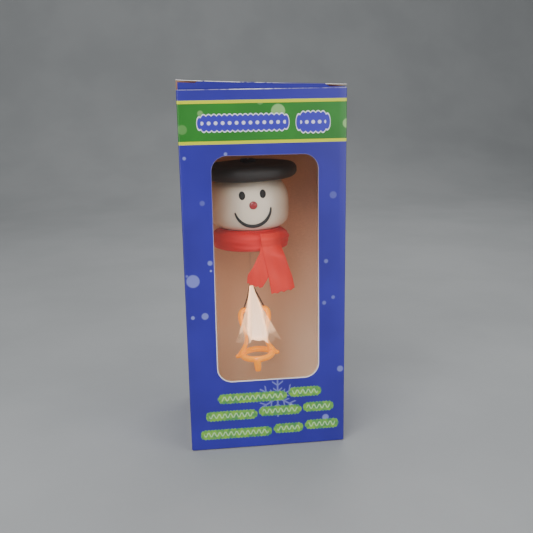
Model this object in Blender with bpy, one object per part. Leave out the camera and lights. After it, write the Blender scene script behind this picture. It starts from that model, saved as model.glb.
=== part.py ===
"""A small hanging light in the shape of a snowman's head, inside its printed window carton.

Frame: metres, +Z up, the window faces -Y. The origin is the centre of the carton's footprint, on the
surface that it stands on. The carton is a straight tuck-end one: at each end a lid folds about the rear
edge, a tuck flap goes down behind the front panel, and two dust flaps fold in from the sides.
"""

from math import cos, pi, radians, sin, sqrt

import bmesh
import bpy
from mathutils import Vector

# ---------------------------------------------------------------- driving dimensions
GAP = 0.0003                 # between pieces that touch
WELD = 0.000001              # merges the points that meet on a turned piece's axis

CARTON_WIDTH = 0.080
CARTON_DEPTH = 0.070
CARTON_HEIGHT = 0.1817       # top edge of the front panel
BOARD = 0.0005

WINDOW_LEFT_MARGIN = 0.0148
WINDOW_RIGHT_MARGIN = 0.0138
WINDOW_BOTTOM = 0.0374
WINDOW_TOP_MARGIN = 0.0306
WINDOW_RADIUS = 0.0073
FILM = 0.0003
FILM_OVERLAP = 0.0065

LID_POP = radians(2.4)       # the top lid stands a little open
LID_FOLD = 0.0003            # from the lid's fold line to its first edge
TUCK_LENGTH = 0.012
TUCK_INSET = 0.002           # tuck flap to side panel
TUCK_TILT = radians(12.0)    # leans in, so that it swings clear of the front panel
DUST_LENGTH = 0.025
DUST_FRONT_CLEAR = 0.004     # leaves the tuck flap its room
DUST_REAR_CLEAR = 0.002
DUST_TAPER = radians(30.0)   # keeps the rear corner under the rising lid
SEAM_FLAP_WIDTH = 0.012
SEAM_FLAP_INSET = 0.003

HANGER_DEPTH = 0.0167        # front panel's top edge down to the hanger's underside
HANGER_WIDTH = 0.024
HANGER_LEG = 0.012
HANGER_HOLE = 0.0012

CORD_RADIUS = 0.0006
CORD_POINTS = 16
CORD_RUN = 0.0006            # radial room for the cord in what slides on it
STOP_RADIUS = 0.0025
STOP_HEIGHT = 0.003

LIGHT_X = -0.0043            # the light hangs a little to the left
HEAD_DROP = 0.0415           # hanger's underside to the widest part of the head
HEAD_RADIUS = 0.021
HEAD_ABOVE = 0.017           # half height of the head's curve above its widest part
HEAD_BELOW = 0.0131
HEAD_POWER = 2.4             # 2 is an ellipse, more is boxier
HEAD_POWER_BELOW = 4.5       # so the head stays full down to the scarf
HEAD_TOP = 0.013             # where the curve stops for the hat
HEAD_WALL = 0.0012
NECK_RADIUS = 0.0113
NECK_BOTTOM = -0.0205

HAT_OVERHANG = 0.0044
HAT_THICKNESS = 0.0062
HAT_EDGE = 0.0025
HAT_BORE = 0.0032
CROWN_RADIUS = 0.017
CROWN_HEIGHT = 0.0018
GROMMET_FLANGE = 0.0042
GROMMET_FLANGE_HEIGHT = 0.0012
COLLAR_DEPTH = 0.0045
COLLAR_WALL = 0.0014

BUTTON_RADIUS = 0.003
BUTTON_OFFSET = 0.0115
BUTTON_PROUD = 0.0008
BUTTON_SUNK = 0.0032
BUTTON_TRAVEL = 0.0006

SOCKET_SIZE = (0.009, 0.0065, 0.0033)
SOCKET_MOUTH = (0.0083, 0.0056, 0.0026)
SOCKET_INSET = 0.001
TONGUE_SIZE = (0.0067, 0.0042, 0.0007)
COVER_SIZE = (0.011, 0.0012, 0.0046)

TUBE_WALL = 0.0008
LED_BOARD_RADIUS = 0.0118
LED_BOARD_THICKNESS = 0.0016
LED_BOARD_Z = 0.0045
LED_SIZE = 0.003
LED_HEIGHT = 0.0009
LED_CIRCLE = 0.0075
LED_COUNT = 3
CELL_SIZE = (0.014, 0.006, 0.0036)
CELL_OFFSET = 0.0062
BASE_THICKNESS = 0.0028
SCREW_RADIUS = 0.0014
SCREW_HEIGHT = 0.0009
SCREW_OFFSET = 0.0075

EYE_SPACING = 0.0105
EYE_Z = 0.0066
EYE_HEIGHT = 0.004
EYE_WIDTH = 0.003
EYE_DEPTH = 0.0005
NOSE_Z = 0.0015
NOSE_RADIUS = 0.0019
NOSE_DEPTH = 0.0011
SMILE_RADIUS = 0.0092
SMILE_START = radians(194.0)
SMILE_END = radians(360.0)
SMILE_STROKE = 0.0007
SMILE_POINTS = 18

SCARF_CENTRE_RADIUS = 0.016
SCARF_HALF_WIDTH = 0.0041
SCARF_HALF_HEIGHT = 0.0049
SCARF_Z = -0.0184
WRAP_THICKNESS = 0.0018
WRAP_HALF_HEIGHT = 0.0043
WRAP_START = radians(-55.0)
WRAP_END = radians(-15.0)
WRAP_STEPS = 6
TAIL_THICKNESS = 0.0026
TAIL_FRONT_CLEAR = 0.0009
# Tail outlines, measured from the light's axis and the head's widest level.
LEFT_TAIL = ((0.0040, -0.0150), (0.0070, -0.0150), (0.0066, -0.0355), (0.0036, -0.0414),
             (-0.0038, -0.0386), (-0.0037, -0.0349), (0.0026, -0.0245))
RIGHT_TAIL = ((0.0074, -0.0150), (0.0140, -0.0150), (0.0142, -0.0205), (0.0169, -0.0290),
              (0.0204, -0.0392), (0.0203, -0.0424), (0.0089, -0.0447), (0.0070, -0.0355))

PENDANT_DROP = 0.0417        # head's widest part to the pendant's pivot
PENDANT_SHIFT = 0.0008
PENDANT_LEAN = radians(3.1)    # it hangs a little aslant, towards +X at its foot
BEAD_RADIUS = 0.0014
BEAD_HEIGHT = 0.0026
STRAND_RADIUS = 0.00045
RAIL_RADIUS = 0.0011
RAIL_Y = 0.0028
# Half of the frame's outline: distance from its centre line, height from the pivot.
RAIL_ROUTE = ((0.0030, -0.0209), (0.0040, -0.0190), (0.0056, -0.0184), (0.0073, -0.0198), (0.0079, -0.0232),
              (0.0069, -0.0280), (0.0055, -0.0333), (0.0060, -0.0376), (0.0080, -0.0416))
STRAND_ROUTE = ((0.0007, 0.0004, -0.0036), (0.0016, 0.0010, -0.0072), (0.0034, 0.0019, -0.0118),
                (0.0054, 0.0028, -0.0166))
RING_RADIUS = 0.0084
RING_TUBE = 0.0012
RING_Z = -0.0447
PEG_RADIUS = 0.0012
PEG_LENGTH = 0.0024
STUB_RADIUS = 0.0019
STUB_LENGTH = 0.0053
STUB_TURN = radians(7.0)       # round the ring from its front, towards -X
CONE_TOP = (-0.0075, 0.0016, 0.0012, -0.0010)    # height, half width, half depth, place along Y
CONE_BASE = (-0.0335, 0.0112, 0.0048, -0.0042)
CONE_STEPS = 6

ROUND_SIDES = 32
SMALL_SIDES = 16
ARC_STEPS = 5

# ---------------------------------------------------------------- derived places
HALF_WIDTH = CARTON_WIDTH / 2
HALF_DEPTH = CARTON_DEPTH / 2
WALL_BOTTOM = BOARD + GAP                      # the bottom lid lies under the walls
INNER_X = HALF_WIDTH - BOARD - GAP
INNER_Y = HALF_DEPTH - BOARD - GAP
HANGER_Z = CARTON_HEIGHT - HANGER_DEPTH
HEAD_Z = HANGER_Z - HEAD_DROP
HAT_RADIUS = HEAD_RADIUS + HAT_OVERHANG
HAT_BOTTOM = HEAD_TOP + GAP
HAT_TOP = HAT_BOTTOM + HAT_THICKNESS
CROWN_TOP = HAT_TOP + CROWN_HEIGHT
SOCKET_Z = HAT_BOTTOM + HAT_THICKNESS / 2
BORE_FOR_CORD = CORD_RADIUS + CORD_RUN
TUBE_RADIUS = BORE_FOR_CORD + TUBE_WALL
SCARF_OUTER = SCARF_CENTRE_RADIUS + SCARF_HALF_WIDTH
PIVOT_Z = HEAD_Z - PENDANT_DROP

FINISHES = {
    "printed_board": ((0.048, 0.062, 0.353), 0.42, 0.0),
    "raw_board": ((0.46, 0.36, 0.27), 0.85, 0.0),
    "clear_film": ((0.86, 0.86, 0.86), 0.12, 0.0),
    "black_plastic": ((0.016, 0.014, 0.014), 0.45, 0.0),
    "black_rubber": ((0.012, 0.012, 0.012), 0.8, 0.0),
    "frosted_white": ((0.78, 0.76, 0.72), 0.5, 0.0),
    "white_plastic": ((0.7, 0.7, 0.68), 0.45, 0.0),
    "board_green": ((0.02, 0.16, 0.06), 0.4, 0.0),
    "led_yellow": ((0.75, 0.62, 0.12), 0.3, 0.0),
    "cell_silver": ((0.55, 0.56, 0.58), 0.35, 0.6),
    "steel": ((0.56, 0.57, 0.58), 0.3, 1.0),
    "face_black": ((0.018, 0.012, 0.01), 0.35, 0.0),
    "nose_red": ((0.38, 0.015, 0.02), 0.35, 0.0),
    "scarf_red": ((0.62, 0.035, 0.03), 0.75, 0.0),
    "brown_cord": ((0.075, 0.04, 0.022), 0.8, 0.0),
    "amber_plastic": ((0.78, 0.25, 0.02), 0.15, 0.0),
}


# ---------------------------------------------------------------- helpers
def clear_scene():
    """Removes every object that the scene starts with."""
    for found in list(bpy.data.objects):
        bpy.data.objects.remove(found, do_unlink=True)


def dress(thing, finish):
    """Gives an object its own material."""
    colour, roughness, metallic = FINISHES[finish]
    material = bpy.data.materials.new(thing.name + "_" + finish)
    material.use_nodes = True
    shader = material.node_tree.nodes["Principled BSDF"]
    shader.inputs["Base Color"].default_value = (*colour, 1.0)
    shader.inputs["Roughness"].default_value = roughness
    shader.inputs["Metallic"].default_value = metallic
    thing.data.materials.append(material)


def pivot(name, parent, location, rotation=(0.0, 0.0, 0.0)):
    """An empty that carries the pieces of one body."""
    thing = bpy.data.objects.new(name, None)
    bpy.context.scene.collection.objects.link(thing)
    thing.parent = parent
    thing.location = location
    thing.rotation_euler = rotation
    return thing


def add_mesh(name, finish, mesh, parent, smooth=False):
    """Makes an object from a bmesh whose faces form one closed surface."""
    bmesh.ops.recalc_face_normals(mesh, faces=mesh.faces)
    data = bpy.data.meshes.new(name)
    mesh.to_mesh(data)
    mesh.free()
    if smooth:
        data.shade_smooth()
        data.set_sharp_from_angle(angle=radians(40.0))
    thing = bpy.data.objects.new(name, data)
    bpy.context.scene.collection.objects.link(thing)
    thing.parent = parent
    if finish:
        dress(thing, finish)
    return thing


def skin(mesh, rings, closed):
    """Joins rings of points by quads; an open run of rings gets a cap at each end."""
    pairs = list(zip(rings, rings[1:]))
    if closed:
        pairs.append((rings[-1], rings[0]))
    else:
        mesh.faces.new(rings[0])
        mesh.faces.new(rings[-1])
    for ring, following in pairs:
        for index, corner in enumerate(ring):
            after = (index + 1) % len(ring)
            mesh.faces.new((corner, ring[after], following[after], following[index]))


def prism(name, finish, outline, place, start, end, parent):
    """A flat piece: an outline carried from start to end. place turns (a, b, height) into a point."""
    mesh = bmesh.new()
    rings = [[mesh.verts.new(place(a, b, height)) for a, b in outline] for height in (start, end)]
    skin(mesh, rings, closed=False)
    return add_mesh(name, finish, mesh, parent)


def facing_front(across, up, depth):
    """Outline across and up, thickness along Y."""
    return (across, depth, up)


def facing_up(across, along, height):
    """Outline across and along, thickness along Z."""
    return (across, along, height)


def rectangle(low_a, high_a, low_b, high_b):
    """The four corners of a rectangle."""
    return ((low_a, low_b), (high_a, low_b), (high_a, high_b), (low_a, high_b))


def block(name, finish, low, high, parent):
    """A box between two corners."""
    outline = rectangle(low[0], high[0], low[1], high[1])
    return prism(name, finish, outline, facing_up, low[2], high[2], parent)


def centred_block(name, finish, size, centre, parent):
    """A box of the given size round its centre."""
    low = [middle - side / 2 for middle, side in zip(centre, size)]
    high = [middle + side / 2 for middle, side in zip(centre, size)]
    return block(name, finish, low, high, parent)


def rounded_rectangle(low_a, high_a, low_b, high_b, radius):
    """A rectangle's outline with an arc at each corner."""
    centres = ((high_a - radius, high_b - radius), (low_a + radius, high_b - radius),
               (low_a + radius, low_b + radius), (high_a - radius, low_b + radius))
    points = []
    for quarter, (a, b) in enumerate(centres):
        for step in range(ARC_STEPS + 1):
            turn = (quarter + step / ARC_STEPS) * pi / 2
            points.append((a + radius * cos(turn), b + radius * sin(turn)))
    return points


def turned(name, finish, profile, parent, sides=ROUND_SIDES):
    """A closed outline of (radius, height) points, carried once round the Z axis."""
    mesh = bmesh.new()
    rings = []
    for step in range(sides):
        turn = 2 * pi * step / sides
        rings.append([mesh.verts.new((radius * cos(turn), radius * sin(turn), height))
                      for radius, height in profile])
    skin(mesh, rings, closed=True)
    bmesh.ops.remove_doubles(mesh, verts=mesh.verts, dist=WELD)
    return add_mesh(name, finish, mesh, parent, smooth=True)


def washer(name, finish, inner, outer, low, high, parent, sides=ROUND_SIDES):
    """A flat ring or a short tube."""
    return turned(name, finish, rectangle(inner, outer, low, high), parent, sides)


def arc(centre_a, centre_b, radius, start, end, steps=ARC_STEPS):
    """Points along a circular arc, both ends included."""
    turns = [start + (end - start) * step / steps for step in range(steps + 1)]
    return [(centre_a + radius * cos(turn), centre_b + radius * sin(turn)) for turn in turns]


def cut(target, cutter):
    """Takes the cutter's shape out of the target."""
    cutter.hide_render = True
    cutter.display_type = "WIRE"
    modifier = target.modifiers.new("cut_" + cutter.name, "BOOLEAN")
    modifier.operation = "DIFFERENCE"
    modifier.object = cutter


def smooth_route(points, spacing):
    """Points spaced along a Catmull-Rom curve through the given ones."""
    known = [Vector(point) for point in points]
    ends = [2 * known[0] - known[1]] + known + [2 * known[-1] - known[-2]]
    route = []
    for index in range(1, len(ends) - 2):
        before, start, end, after = ends[index - 1:index + 3]
        steps = max(1, round((end - start).length / spacing))
        for step in range(steps):
            t = step / steps
            bend = 2 * before - 5 * start + 4 * end - after
            twist = 3 * start - before - 3 * end + after
            route.append(start + 0.5 * t * (end - before + t * bend + t * t * twist))
    route.append(known[-1])
    return route


def tube(name, finish, points, radius, parent):
    """A round bar or cord along a list of points."""
    data = bpy.data.curves.new(name, "CURVE")
    data.dimensions = "3D"
    data.bevel_depth = radius
    data.bevel_resolution = 2
    data.resolution_u = 1
    data.render_resolution_u = 0
    data.use_fill_caps = True
    spline = data.splines.new("POLY")
    spline.points.add(len(points) - 1)
    for place, point in zip(spline.points, points):
        place.co = (*point, 1.0)
    thing = bpy.data.objects.new(name, data)
    bpy.context.scene.collection.objects.link(thing)
    thing.parent = parent
    dress(thing, finish)
    return thing


# ---------------------------------------------------------------- carton
def add_walls(carton):
    """Four panels, the seam flap and the window's film."""
    window_low_x = -HALF_WIDTH + WINDOW_LEFT_MARGIN
    window_high_x = HALF_WIDTH - WINDOW_RIGHT_MARGIN
    window_top = CARTON_HEIGHT - WINDOW_TOP_MARGIN
    face = rectangle(-HALF_WIDTH, HALF_WIDTH, WALL_BOTTOM, CARTON_HEIGHT)
    front = prism("front_panel", "printed_board", face, facing_front,
                  -HALF_DEPTH, -HALF_DEPTH + BOARD, carton)
    window = rounded_rectangle(window_low_x, window_high_x, WINDOW_BOTTOM, window_top, WINDOW_RADIUS)
    cut(front, prism("window_cutter", None, window, facing_front,
                     -HALF_DEPTH - BOARD, -HALF_DEPTH + 2 * BOARD, carton))
    prism("back_panel", "printed_board", face, facing_front, HALF_DEPTH - BOARD, HALF_DEPTH, carton)
    side_low = WALL_BOTTOM + BOARD + GAP
    side_high = CARTON_HEIGHT - BOARD - GAP
    for name, side in (("left_panel", -1), ("right_panel", 1)):
        outer, inner = sorted((side * HALF_WIDTH, side * (HALF_WIDTH - BOARD)))
        block(name, "printed_board", (outer, -INNER_Y, side_low), (inner, INNER_Y, side_high), carton)
    block("seam_flap", "raw_board",
          (-INNER_X, INNER_Y - SEAM_FLAP_WIDTH, side_low + SEAM_FLAP_INSET),
          (-INNER_X + BOARD, INNER_Y, side_high - SEAM_FLAP_INSET), carton)
    film = rectangle(window_low_x - FILM_OVERLAP, window_high_x + FILM_OVERLAP,
                     WINDOW_BOTTOM - FILM_OVERLAP, window_top + FILM_OVERLAP)
    prism("window_film", "clear_film", film, facing_front, -INNER_Y, -INNER_Y + FILM, carton)


def add_dust_flap(name, end, side):
    """A flap hinged on a side panel, with its rear edge slanted away from the lid's fold."""
    hinge = pivot(name + "_hinge", end, (-side * HALF_WIDTH, 0.0, 0.0))
    front = -INNER_Y + DUST_FRONT_CLEAR
    rear = INNER_Y - DUST_REAR_CLEAR
    slant = DUST_LENGTH * sin(DUST_TAPER) / cos(DUST_TAPER)
    outline = ((0.0, front), (side * DUST_LENGTH, front), (side * DUST_LENGTH, rear - slant), (0.0, rear))
    prism(name, "raw_board", outline, facing_up, -BOARD, 0.0, hinge)


def add_closure(prefix, end, pop, sides):
    """A lid with its tuck flap, and two dust flaps; end's +Z points out of the carton."""
    lid_hinge = pivot(prefix + "_lid_hinge", end, (0.0, HALF_DEPTH, GAP), (-pop, 0.0, 0.0))
    lid_length = CARTON_DEPTH - BOARD - GAP
    block(prefix + "_lid", "printed_board", (-HALF_WIDTH, -lid_length, 0.0),
          (HALF_WIDTH, -LID_FOLD, BOARD), lid_hinge)
    tuck_hinge = pivot(prefix + "_tuck_hinge", lid_hinge, (0.0, -lid_length, 0.0), (TUCK_TILT, 0.0, 0.0))
    tuck_half = INNER_X - TUCK_INSET
    block(prefix + "_tuck_flap", "printed_board", (-tuck_half, 0.0, -TUCK_LENGTH),
          (tuck_half, BOARD, -LID_FOLD), tuck_hinge)
    for word, side in sides:
        add_dust_flap(prefix + "_dust_flap_" + word, end, side)


def add_hanger(carton):
    """A card bridge glued between the side panels, with the cord and its stop."""
    half = HANGER_WIDTH / 2
    bridge_half = INNER_X - BOARD - GAP
    bridge = block("hanger_bridge", "raw_board", (-bridge_half, -half, HANGER_Z),
                   (bridge_half, half, HANGER_Z + BOARD), carton)
    line = pivot("cord_line", carton, (LIGHT_X, 0.0, 0.0))
    hole = rectangle(0.0, HANGER_HOLE, HANGER_Z - BOARD, HANGER_Z + 2 * BOARD)
    cut(bridge, turned("hanger_hole_cutter", None, hole, line, SMALL_SIDES))
    for name, side in (("hanger_leg_left", -1), ("hanger_leg_right", 1)):
        outer, inner = sorted((side * INNER_X, side * (INNER_X - BOARD)))
        block(name, "raw_board", (outer, -half, HANGER_Z - HANGER_LEG),
              (inner, half, HANGER_Z + BOARD), carton)
    stop_low = HANGER_Z + BOARD + GAP
    stop_high = stop_low + STOP_HEIGHT
    washer("cord_stop", "brown_cord", CORD_RADIUS + GAP, STOP_RADIUS, stop_low, stop_high, line, SMALL_SIDES)
    steps = CORD_POINTS - 1
    heights = [stop_high + (PIVOT_Z - stop_high) * step / steps for step in range(CORD_POINTS)]
    tube("light_cord", "brown_cord", [(0.0, 0.0, height) for height in heights], CORD_RADIUS, line)


# ---------------------------------------------------------------- light
def head_bottom(radius):
    """The height at which the head's lower curve is this wide."""
    share = (1 - (radius / HEAD_RADIUS) ** HEAD_POWER_BELOW) ** (1 / HEAD_POWER_BELOW)
    return -HEAD_BELOW * share


def head_radius(height):
    """The head's outer radius at a height from its widest part."""
    reach, power = (HEAD_ABOVE, HEAD_POWER) if height > 0 else (HEAD_BELOW, HEAD_POWER_BELOW)
    return HEAD_RADIUS * (1 - (abs(height) / reach) ** power) ** (1 / power)


def on_face(across, height, off):
    """A point at a distance in front of the head's surface."""
    radius = head_radius(height)
    surface = Vector((across, -sqrt(radius ** 2 - across ** 2), height))
    slope = (head_radius(height + WELD) - head_radius(height - WELD)) / (2 * WELD)
    normal = Vector((surface.x / radius, surface.y / radius, -slope)).normalized()
    return surface + off * normal, normal


def add_head(light):
    """The translucent shell, open at the top and at the neck."""
    steps = 16
    bottom = head_bottom(NECK_RADIUS)
    heights = [HEAD_TOP + (bottom - HEAD_TOP) * step / steps for step in range(steps + 1)]
    outer = [(head_radius(height), height) for height in heights]
    neck = [(NECK_RADIUS, NECK_BOTTOM), (NECK_RADIUS - HEAD_WALL, NECK_BOTTOM)]
    inner = [(radius - HEAD_WALL, height + (HEAD_WALL if height < 0 else 0.0))
             for radius, height in reversed(outer)]
    turned("head_bulb", "frosted_white", outer + neck + inner, light)


def add_face(light):
    """Eyes and nose as low domes, and the smile as a thin bar that follows the head."""
    eye_scale = (EYE_WIDTH / EYE_HEIGHT, 1.0, 1.0)
    features = (("eye_left", -EYE_SPACING / 2, EYE_Z, EYE_HEIGHT / 2, EYE_DEPTH, eye_scale, "face_black"),
                ("eye_right", EYE_SPACING / 2, EYE_Z, EYE_HEIGHT / 2, EYE_DEPTH, eye_scale, "face_black"),
                ("nose", 0.0, NOSE_Z, NOSE_RADIUS, NOSE_DEPTH, (1.0, 1.0, 1.0), "nose_red"))
    for name, across, height, radius, depth, scale, finish in features:
        profile = [(radius * cos(turn * pi / 8), depth * sin(turn * pi / 8)) for turn in range(5)]
        dome = turned(name, finish, profile + [(0.0, 0.0)], light, SMALL_SIDES)
        place, normal = on_face(across, height, GAP)
        dome.location = place
        dome.rotation_euler = normal.to_track_quat("Z", "Y").to_euler()
        dome.scale = scale
    turns = [SMILE_START + (SMILE_END - SMILE_START) * step / (SMILE_POINTS - 1)
             for step in range(SMILE_POINTS)]
    off = GAP + SMILE_STROKE
    route = [on_face(SMILE_RADIUS * cos(turn), SMILE_RADIUS * sin(turn), off)[0] for turn in turns]
    tube("smile", "face_black", route, SMILE_STROKE, light)


def add_hat(light):
    """A thick round brim with a low crown, bored for the cord, the button and the socket."""
    top_edge = arc(HAT_RADIUS - HAT_EDGE, HAT_TOP - HAT_EDGE, HAT_EDGE, 0.0, pi / 2)
    bottom_edge = arc(HAT_RADIUS - HAT_EDGE, HAT_BOTTOM + HAT_EDGE, HAT_EDGE, -pi / 2, 0.0)
    crown = [(CROWN_RADIUS, HAT_TOP), (CROWN_RADIUS - CROWN_HEIGHT, CROWN_TOP)]
    profile = bottom_edge + top_edge + crown + [(HAT_BORE, CROWN_TOP), (HAT_BORE, HAT_BOTTOM)]
    hat = turned("hat", "black_plastic", profile, light)
    button_seat = pivot("button_seat", light, (0.0, BUTTON_OFFSET, CROWN_TOP))
    hole_bottom = -BUTTON_SUNK - BUTTON_TRAVEL - GAP
    hole = rectangle(0.0, BUTTON_RADIUS + GAP, hole_bottom, BUTTON_PROUD)
    cut(hat, turned("button_hole_cutter", None, hole, button_seat, SMALL_SIDES))
    washer("power_button", "white_plastic", 0.0, BUTTON_RADIUS, -BUTTON_SUNK, BUTTON_PROUD,
           button_seat, SMALL_SIDES)
    mouth_y = HAT_RADIUS - SOCKET_INSET
    wide, deep, tall = SOCKET_SIZE
    pocket_low = (-wide / 2 - GAP, mouth_y - deep - GAP, SOCKET_Z - tall / 2 - GAP)
    pocket_high = (wide / 2 + GAP, HAT_RADIUS + HAT_EDGE, SOCKET_Z + tall / 2 + GAP)
    cut(hat, block("socket_pocket_cutter", None, pocket_low, pocket_high, light))


def add_socket(light):
    """The charging socket with its tongue, and the rubber cover that swings down off it."""
    mouth_y = HAT_RADIUS - SOCKET_INSET
    middle = (0.0, mouth_y - SOCKET_SIZE[1] / 2, SOCKET_Z)
    socket = centred_block("usb_socket", "steel", SOCKET_SIZE, middle, light)
    mouth = (SOCKET_MOUTH[0], 2 * SOCKET_MOUTH[1], SOCKET_MOUTH[2])
    cut(socket, centred_block("socket_mouth_cutter", None, mouth, (0.0, mouth_y, SOCKET_Z), light))
    tongue_y = mouth_y - SOCKET_MOUTH[1] + GAP + TONGUE_SIZE[1] / 2
    centred_block("usb_tongue", "black_plastic", TONGUE_SIZE, (0.0, tongue_y, SOCKET_Z), light)
    hinge = pivot("cover_hinge", light, (0.0, HAT_RADIUS + GAP, SOCKET_Z - COVER_SIZE[2] / 2))
    block("usb_cover", "black_rubber", (-COVER_SIZE[0] / 2, 0.0, 0.0),
          (COVER_SIZE[0] / 2, COVER_SIZE[1], COVER_SIZE[2]), hinge)


def add_fittings(light):
    """What holds the light together and what lights it."""
    flange_low = CROWN_TOP + GAP
    flange_high = flange_low + GROMMET_FLANGE_HEIGHT
    stem = HAT_BORE - GAP
    grommet = [(BORE_FOR_CORD, HAT_BOTTOM), (stem, HAT_BOTTOM), (stem, flange_low),
               (GROMMET_FLANGE, flange_low), (GROMMET_FLANGE, flange_high), (BORE_FOR_CORD, flange_high)]
    turned("cord_grommet", "black_rubber", grommet, light, SMALL_SIDES)
    collar_outer = head_radius(HEAD_TOP) - HEAD_WALL - GAP
    washer("twist_collar", "white_plastic", collar_outer - COLLAR_WALL, collar_outer,
           HEAD_TOP - COLLAR_DEPTH, HEAD_TOP, light)
    base_high = NECK_BOTTOM - GAP
    base_low = base_high - BASE_THICKNESS
    washer("base_cap", "white_plastic", BORE_FOR_CORD, NECK_RADIUS - GAP, base_low, base_high, light)
    washer("guide_tube", "white_plastic", BORE_FOR_CORD, TUBE_RADIUS,
           NECK_BOTTOM, HEAD_TOP, light, SMALL_SIDES)
    for name, side in (("base_screw_left", -1), ("base_screw_right", 1)):
        seat = pivot(name + "_seat", light, (side * SCREW_OFFSET, 0.0, base_low - GAP))
        washer(name, "steel", 0.0, SCREW_RADIUS, -SCREW_HEIGHT, 0.0, seat, SMALL_SIDES)
    washer("led_board", "board_green", TUBE_RADIUS + GAP, LED_BOARD_RADIUS,
           LED_BOARD_Z, LED_BOARD_Z + LED_BOARD_THICKNESS, light)
    led_z = LED_BOARD_Z - GAP - LED_HEIGHT / 2
    for index in range(LED_COUNT):
        turn = 2 * pi * index / LED_COUNT
        centred_block(f"led_{index + 1}", "led_yellow", (LED_SIZE, LED_SIZE, LED_HEIGHT),
                      (LED_CIRCLE * sin(turn), LED_CIRCLE * cos(turn), led_z), light)
    cell_z = LED_BOARD_Z + LED_BOARD_THICKNESS + GAP + CELL_SIZE[2] / 2
    centred_block("battery_cell", "cell_silver", CELL_SIZE, (0.0, CELL_OFFSET, cell_z), light)


def add_scarf(light):
    """A soft ring round the neck, its overlapping end, and two tails down the front."""
    steps = 12
    section = []
    for step in range(steps):
        turn = 2 * pi * step / steps
        section.append((SCARF_CENTRE_RADIUS + SCARF_HALF_WIDTH * cos(turn),
                        SCARF_Z + SCARF_HALF_HEIGHT * sin(turn)))
    turned("scarf_ring", "scarf_red", section, light)
    inner = SCARF_OUTER + GAP
    outer = inner + WRAP_THICKNESS
    inside = arc(0.0, 0.0, inner, WRAP_START, WRAP_END, WRAP_STEPS)
    outside = arc(0.0, 0.0, outer, WRAP_END, WRAP_START, WRAP_STEPS)
    prism("scarf_wrap", "scarf_red", inside + outside, facing_up,
          SCARF_Z - WRAP_HALF_HEIGHT, SCARF_Z + WRAP_HALF_HEIGHT, light)
    tail_back = -SCARF_OUTER - TAIL_FRONT_CLEAR
    for name, outline in (("scarf_tail_left", LEFT_TAIL), ("scarf_tail_right", RIGHT_TAIL)):
        prism(name, "scarf_red", outline, facing_front, tail_back - TAIL_THICKNESS, tail_back, light)


def add_light(carton):
    """The whole light, on one carrier that slides along the cord."""
    light = pivot("light_axis", carton, (LIGHT_X, 0.0, HEAD_Z))
    add_head(light)
    add_face(light)
    add_hat(light)
    add_socket(light)
    add_fittings(light)
    add_scarf(light)


# ---------------------------------------------------------------- pendant
def add_cone(pendant):
    """The frosted drop, wider at its base, in front of the frame."""
    mesh = bmesh.new()
    rings = []
    for level in range(CONE_STEPS + 1):
        share = level / CONE_STEPS
        height, wide, deep, along = [top + (base - top) * share for top, base in zip(CONE_TOP, CONE_BASE)]
        turns = [2 * pi * step / SMALL_SIDES for step in range(SMALL_SIDES)]
        rings.append([mesh.verts.new((PENDANT_SHIFT + wide * cos(turn), along + deep * sin(turn), height))
                      for turn in turns])
    skin(mesh, rings, closed=False)
    add_mesh("pendant_cone", "frosted_white", mesh, pendant, smooth=True)


def add_pendant(carton):
    """What hangs on the cord's end: bead, two strands, the amber frame and the frosted drop."""
    pendant = pivot("pendant_pivot", carton, (LIGHT_X, 0.0, PIVOT_Z), (0.0, -PENDANT_LEAN, 0.0))
    bead_middle = -GAP - BEAD_HEIGHT / 2
    bead = [(BEAD_RADIUS * cos(turn * pi / 8), bead_middle + BEAD_HEIGHT / 2 * sin(turn * pi / 8))
            for turn in range(-4, 5)]
    turned("pendant_bead", "brown_cord", bead, pendant, SMALL_SIDES)
    for word, side in (("left", -1), ("right", 1)):
        strand = [(side * across + PENDANT_SHIFT * min(1.0, -height / 0.01), along, height)
                  for across, along, height in STRAND_ROUTE]
        tube("pendant_strand_" + word, "brown_cord", smooth_route(strand, 3 * STRAND_RADIUS),
             STRAND_RADIUS, pendant)
        rail = [(PENDANT_SHIFT + side * across, RAIL_Y, height) for across, height in RAIL_ROUTE]
        tube("pendant_rail_" + word, "amber_plastic", smooth_route(rail, 2 * RAIL_RADIUS),
             RAIL_RADIUS, pendant)
    ring_seat = pivot("ring_seat", pendant, (PENDANT_SHIFT, RAIL_Y, RING_Z))
    turned("pendant_ring", "amber_plastic", arc(RING_RADIUS, 0.0, RING_TUBE, 0.0, 7 * pi / 4, 7), ring_seat)
    peg_start = RING_RADIUS + RING_TUBE + GAP
    for word, side in (("left", -1), ("right", 1)):
        ends = [(side * peg_start, 0.0, 0.0), (side * (peg_start + PEG_LENGTH), 0.0, 0.0)]
        tube("pendant_peg_" + word, "amber_plastic", ends, PEG_RADIUS, ring_seat)
    stub_top = -RING_TUBE - GAP
    foot = (-RING_RADIUS * sin(STUB_TURN), -RING_RADIUS * cos(STUB_TURN))
    ends = [(*foot, stub_top), (*foot, stub_top - STUB_LENGTH)]
    tube("pendant_stub", "amber_plastic", ends, STUB_RADIUS, ring_seat)
    add_cone(pendant)


def main():
    """Builds the carton, then the light and the pendant inside it."""
    clear_scene()
    carton = pivot("carton", None, (0.0, 0.0, 0.0))
    add_walls(carton)
    top = pivot("top_end", carton, (0.0, 0.0, CARTON_HEIGHT))
    add_closure("top", top, LID_POP, (("left", 1), ("right", -1)))
    bottom = pivot("bottom_end", carton, (0.0, 0.0, WALL_BOTTOM), (0.0, pi, 0.0))
    add_closure("bottom", bottom, 0.0, (("right", 1), ("left", -1)))
    add_hanger(carton)
    add_light(carton)
    add_pendant(carton)


main()
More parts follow.
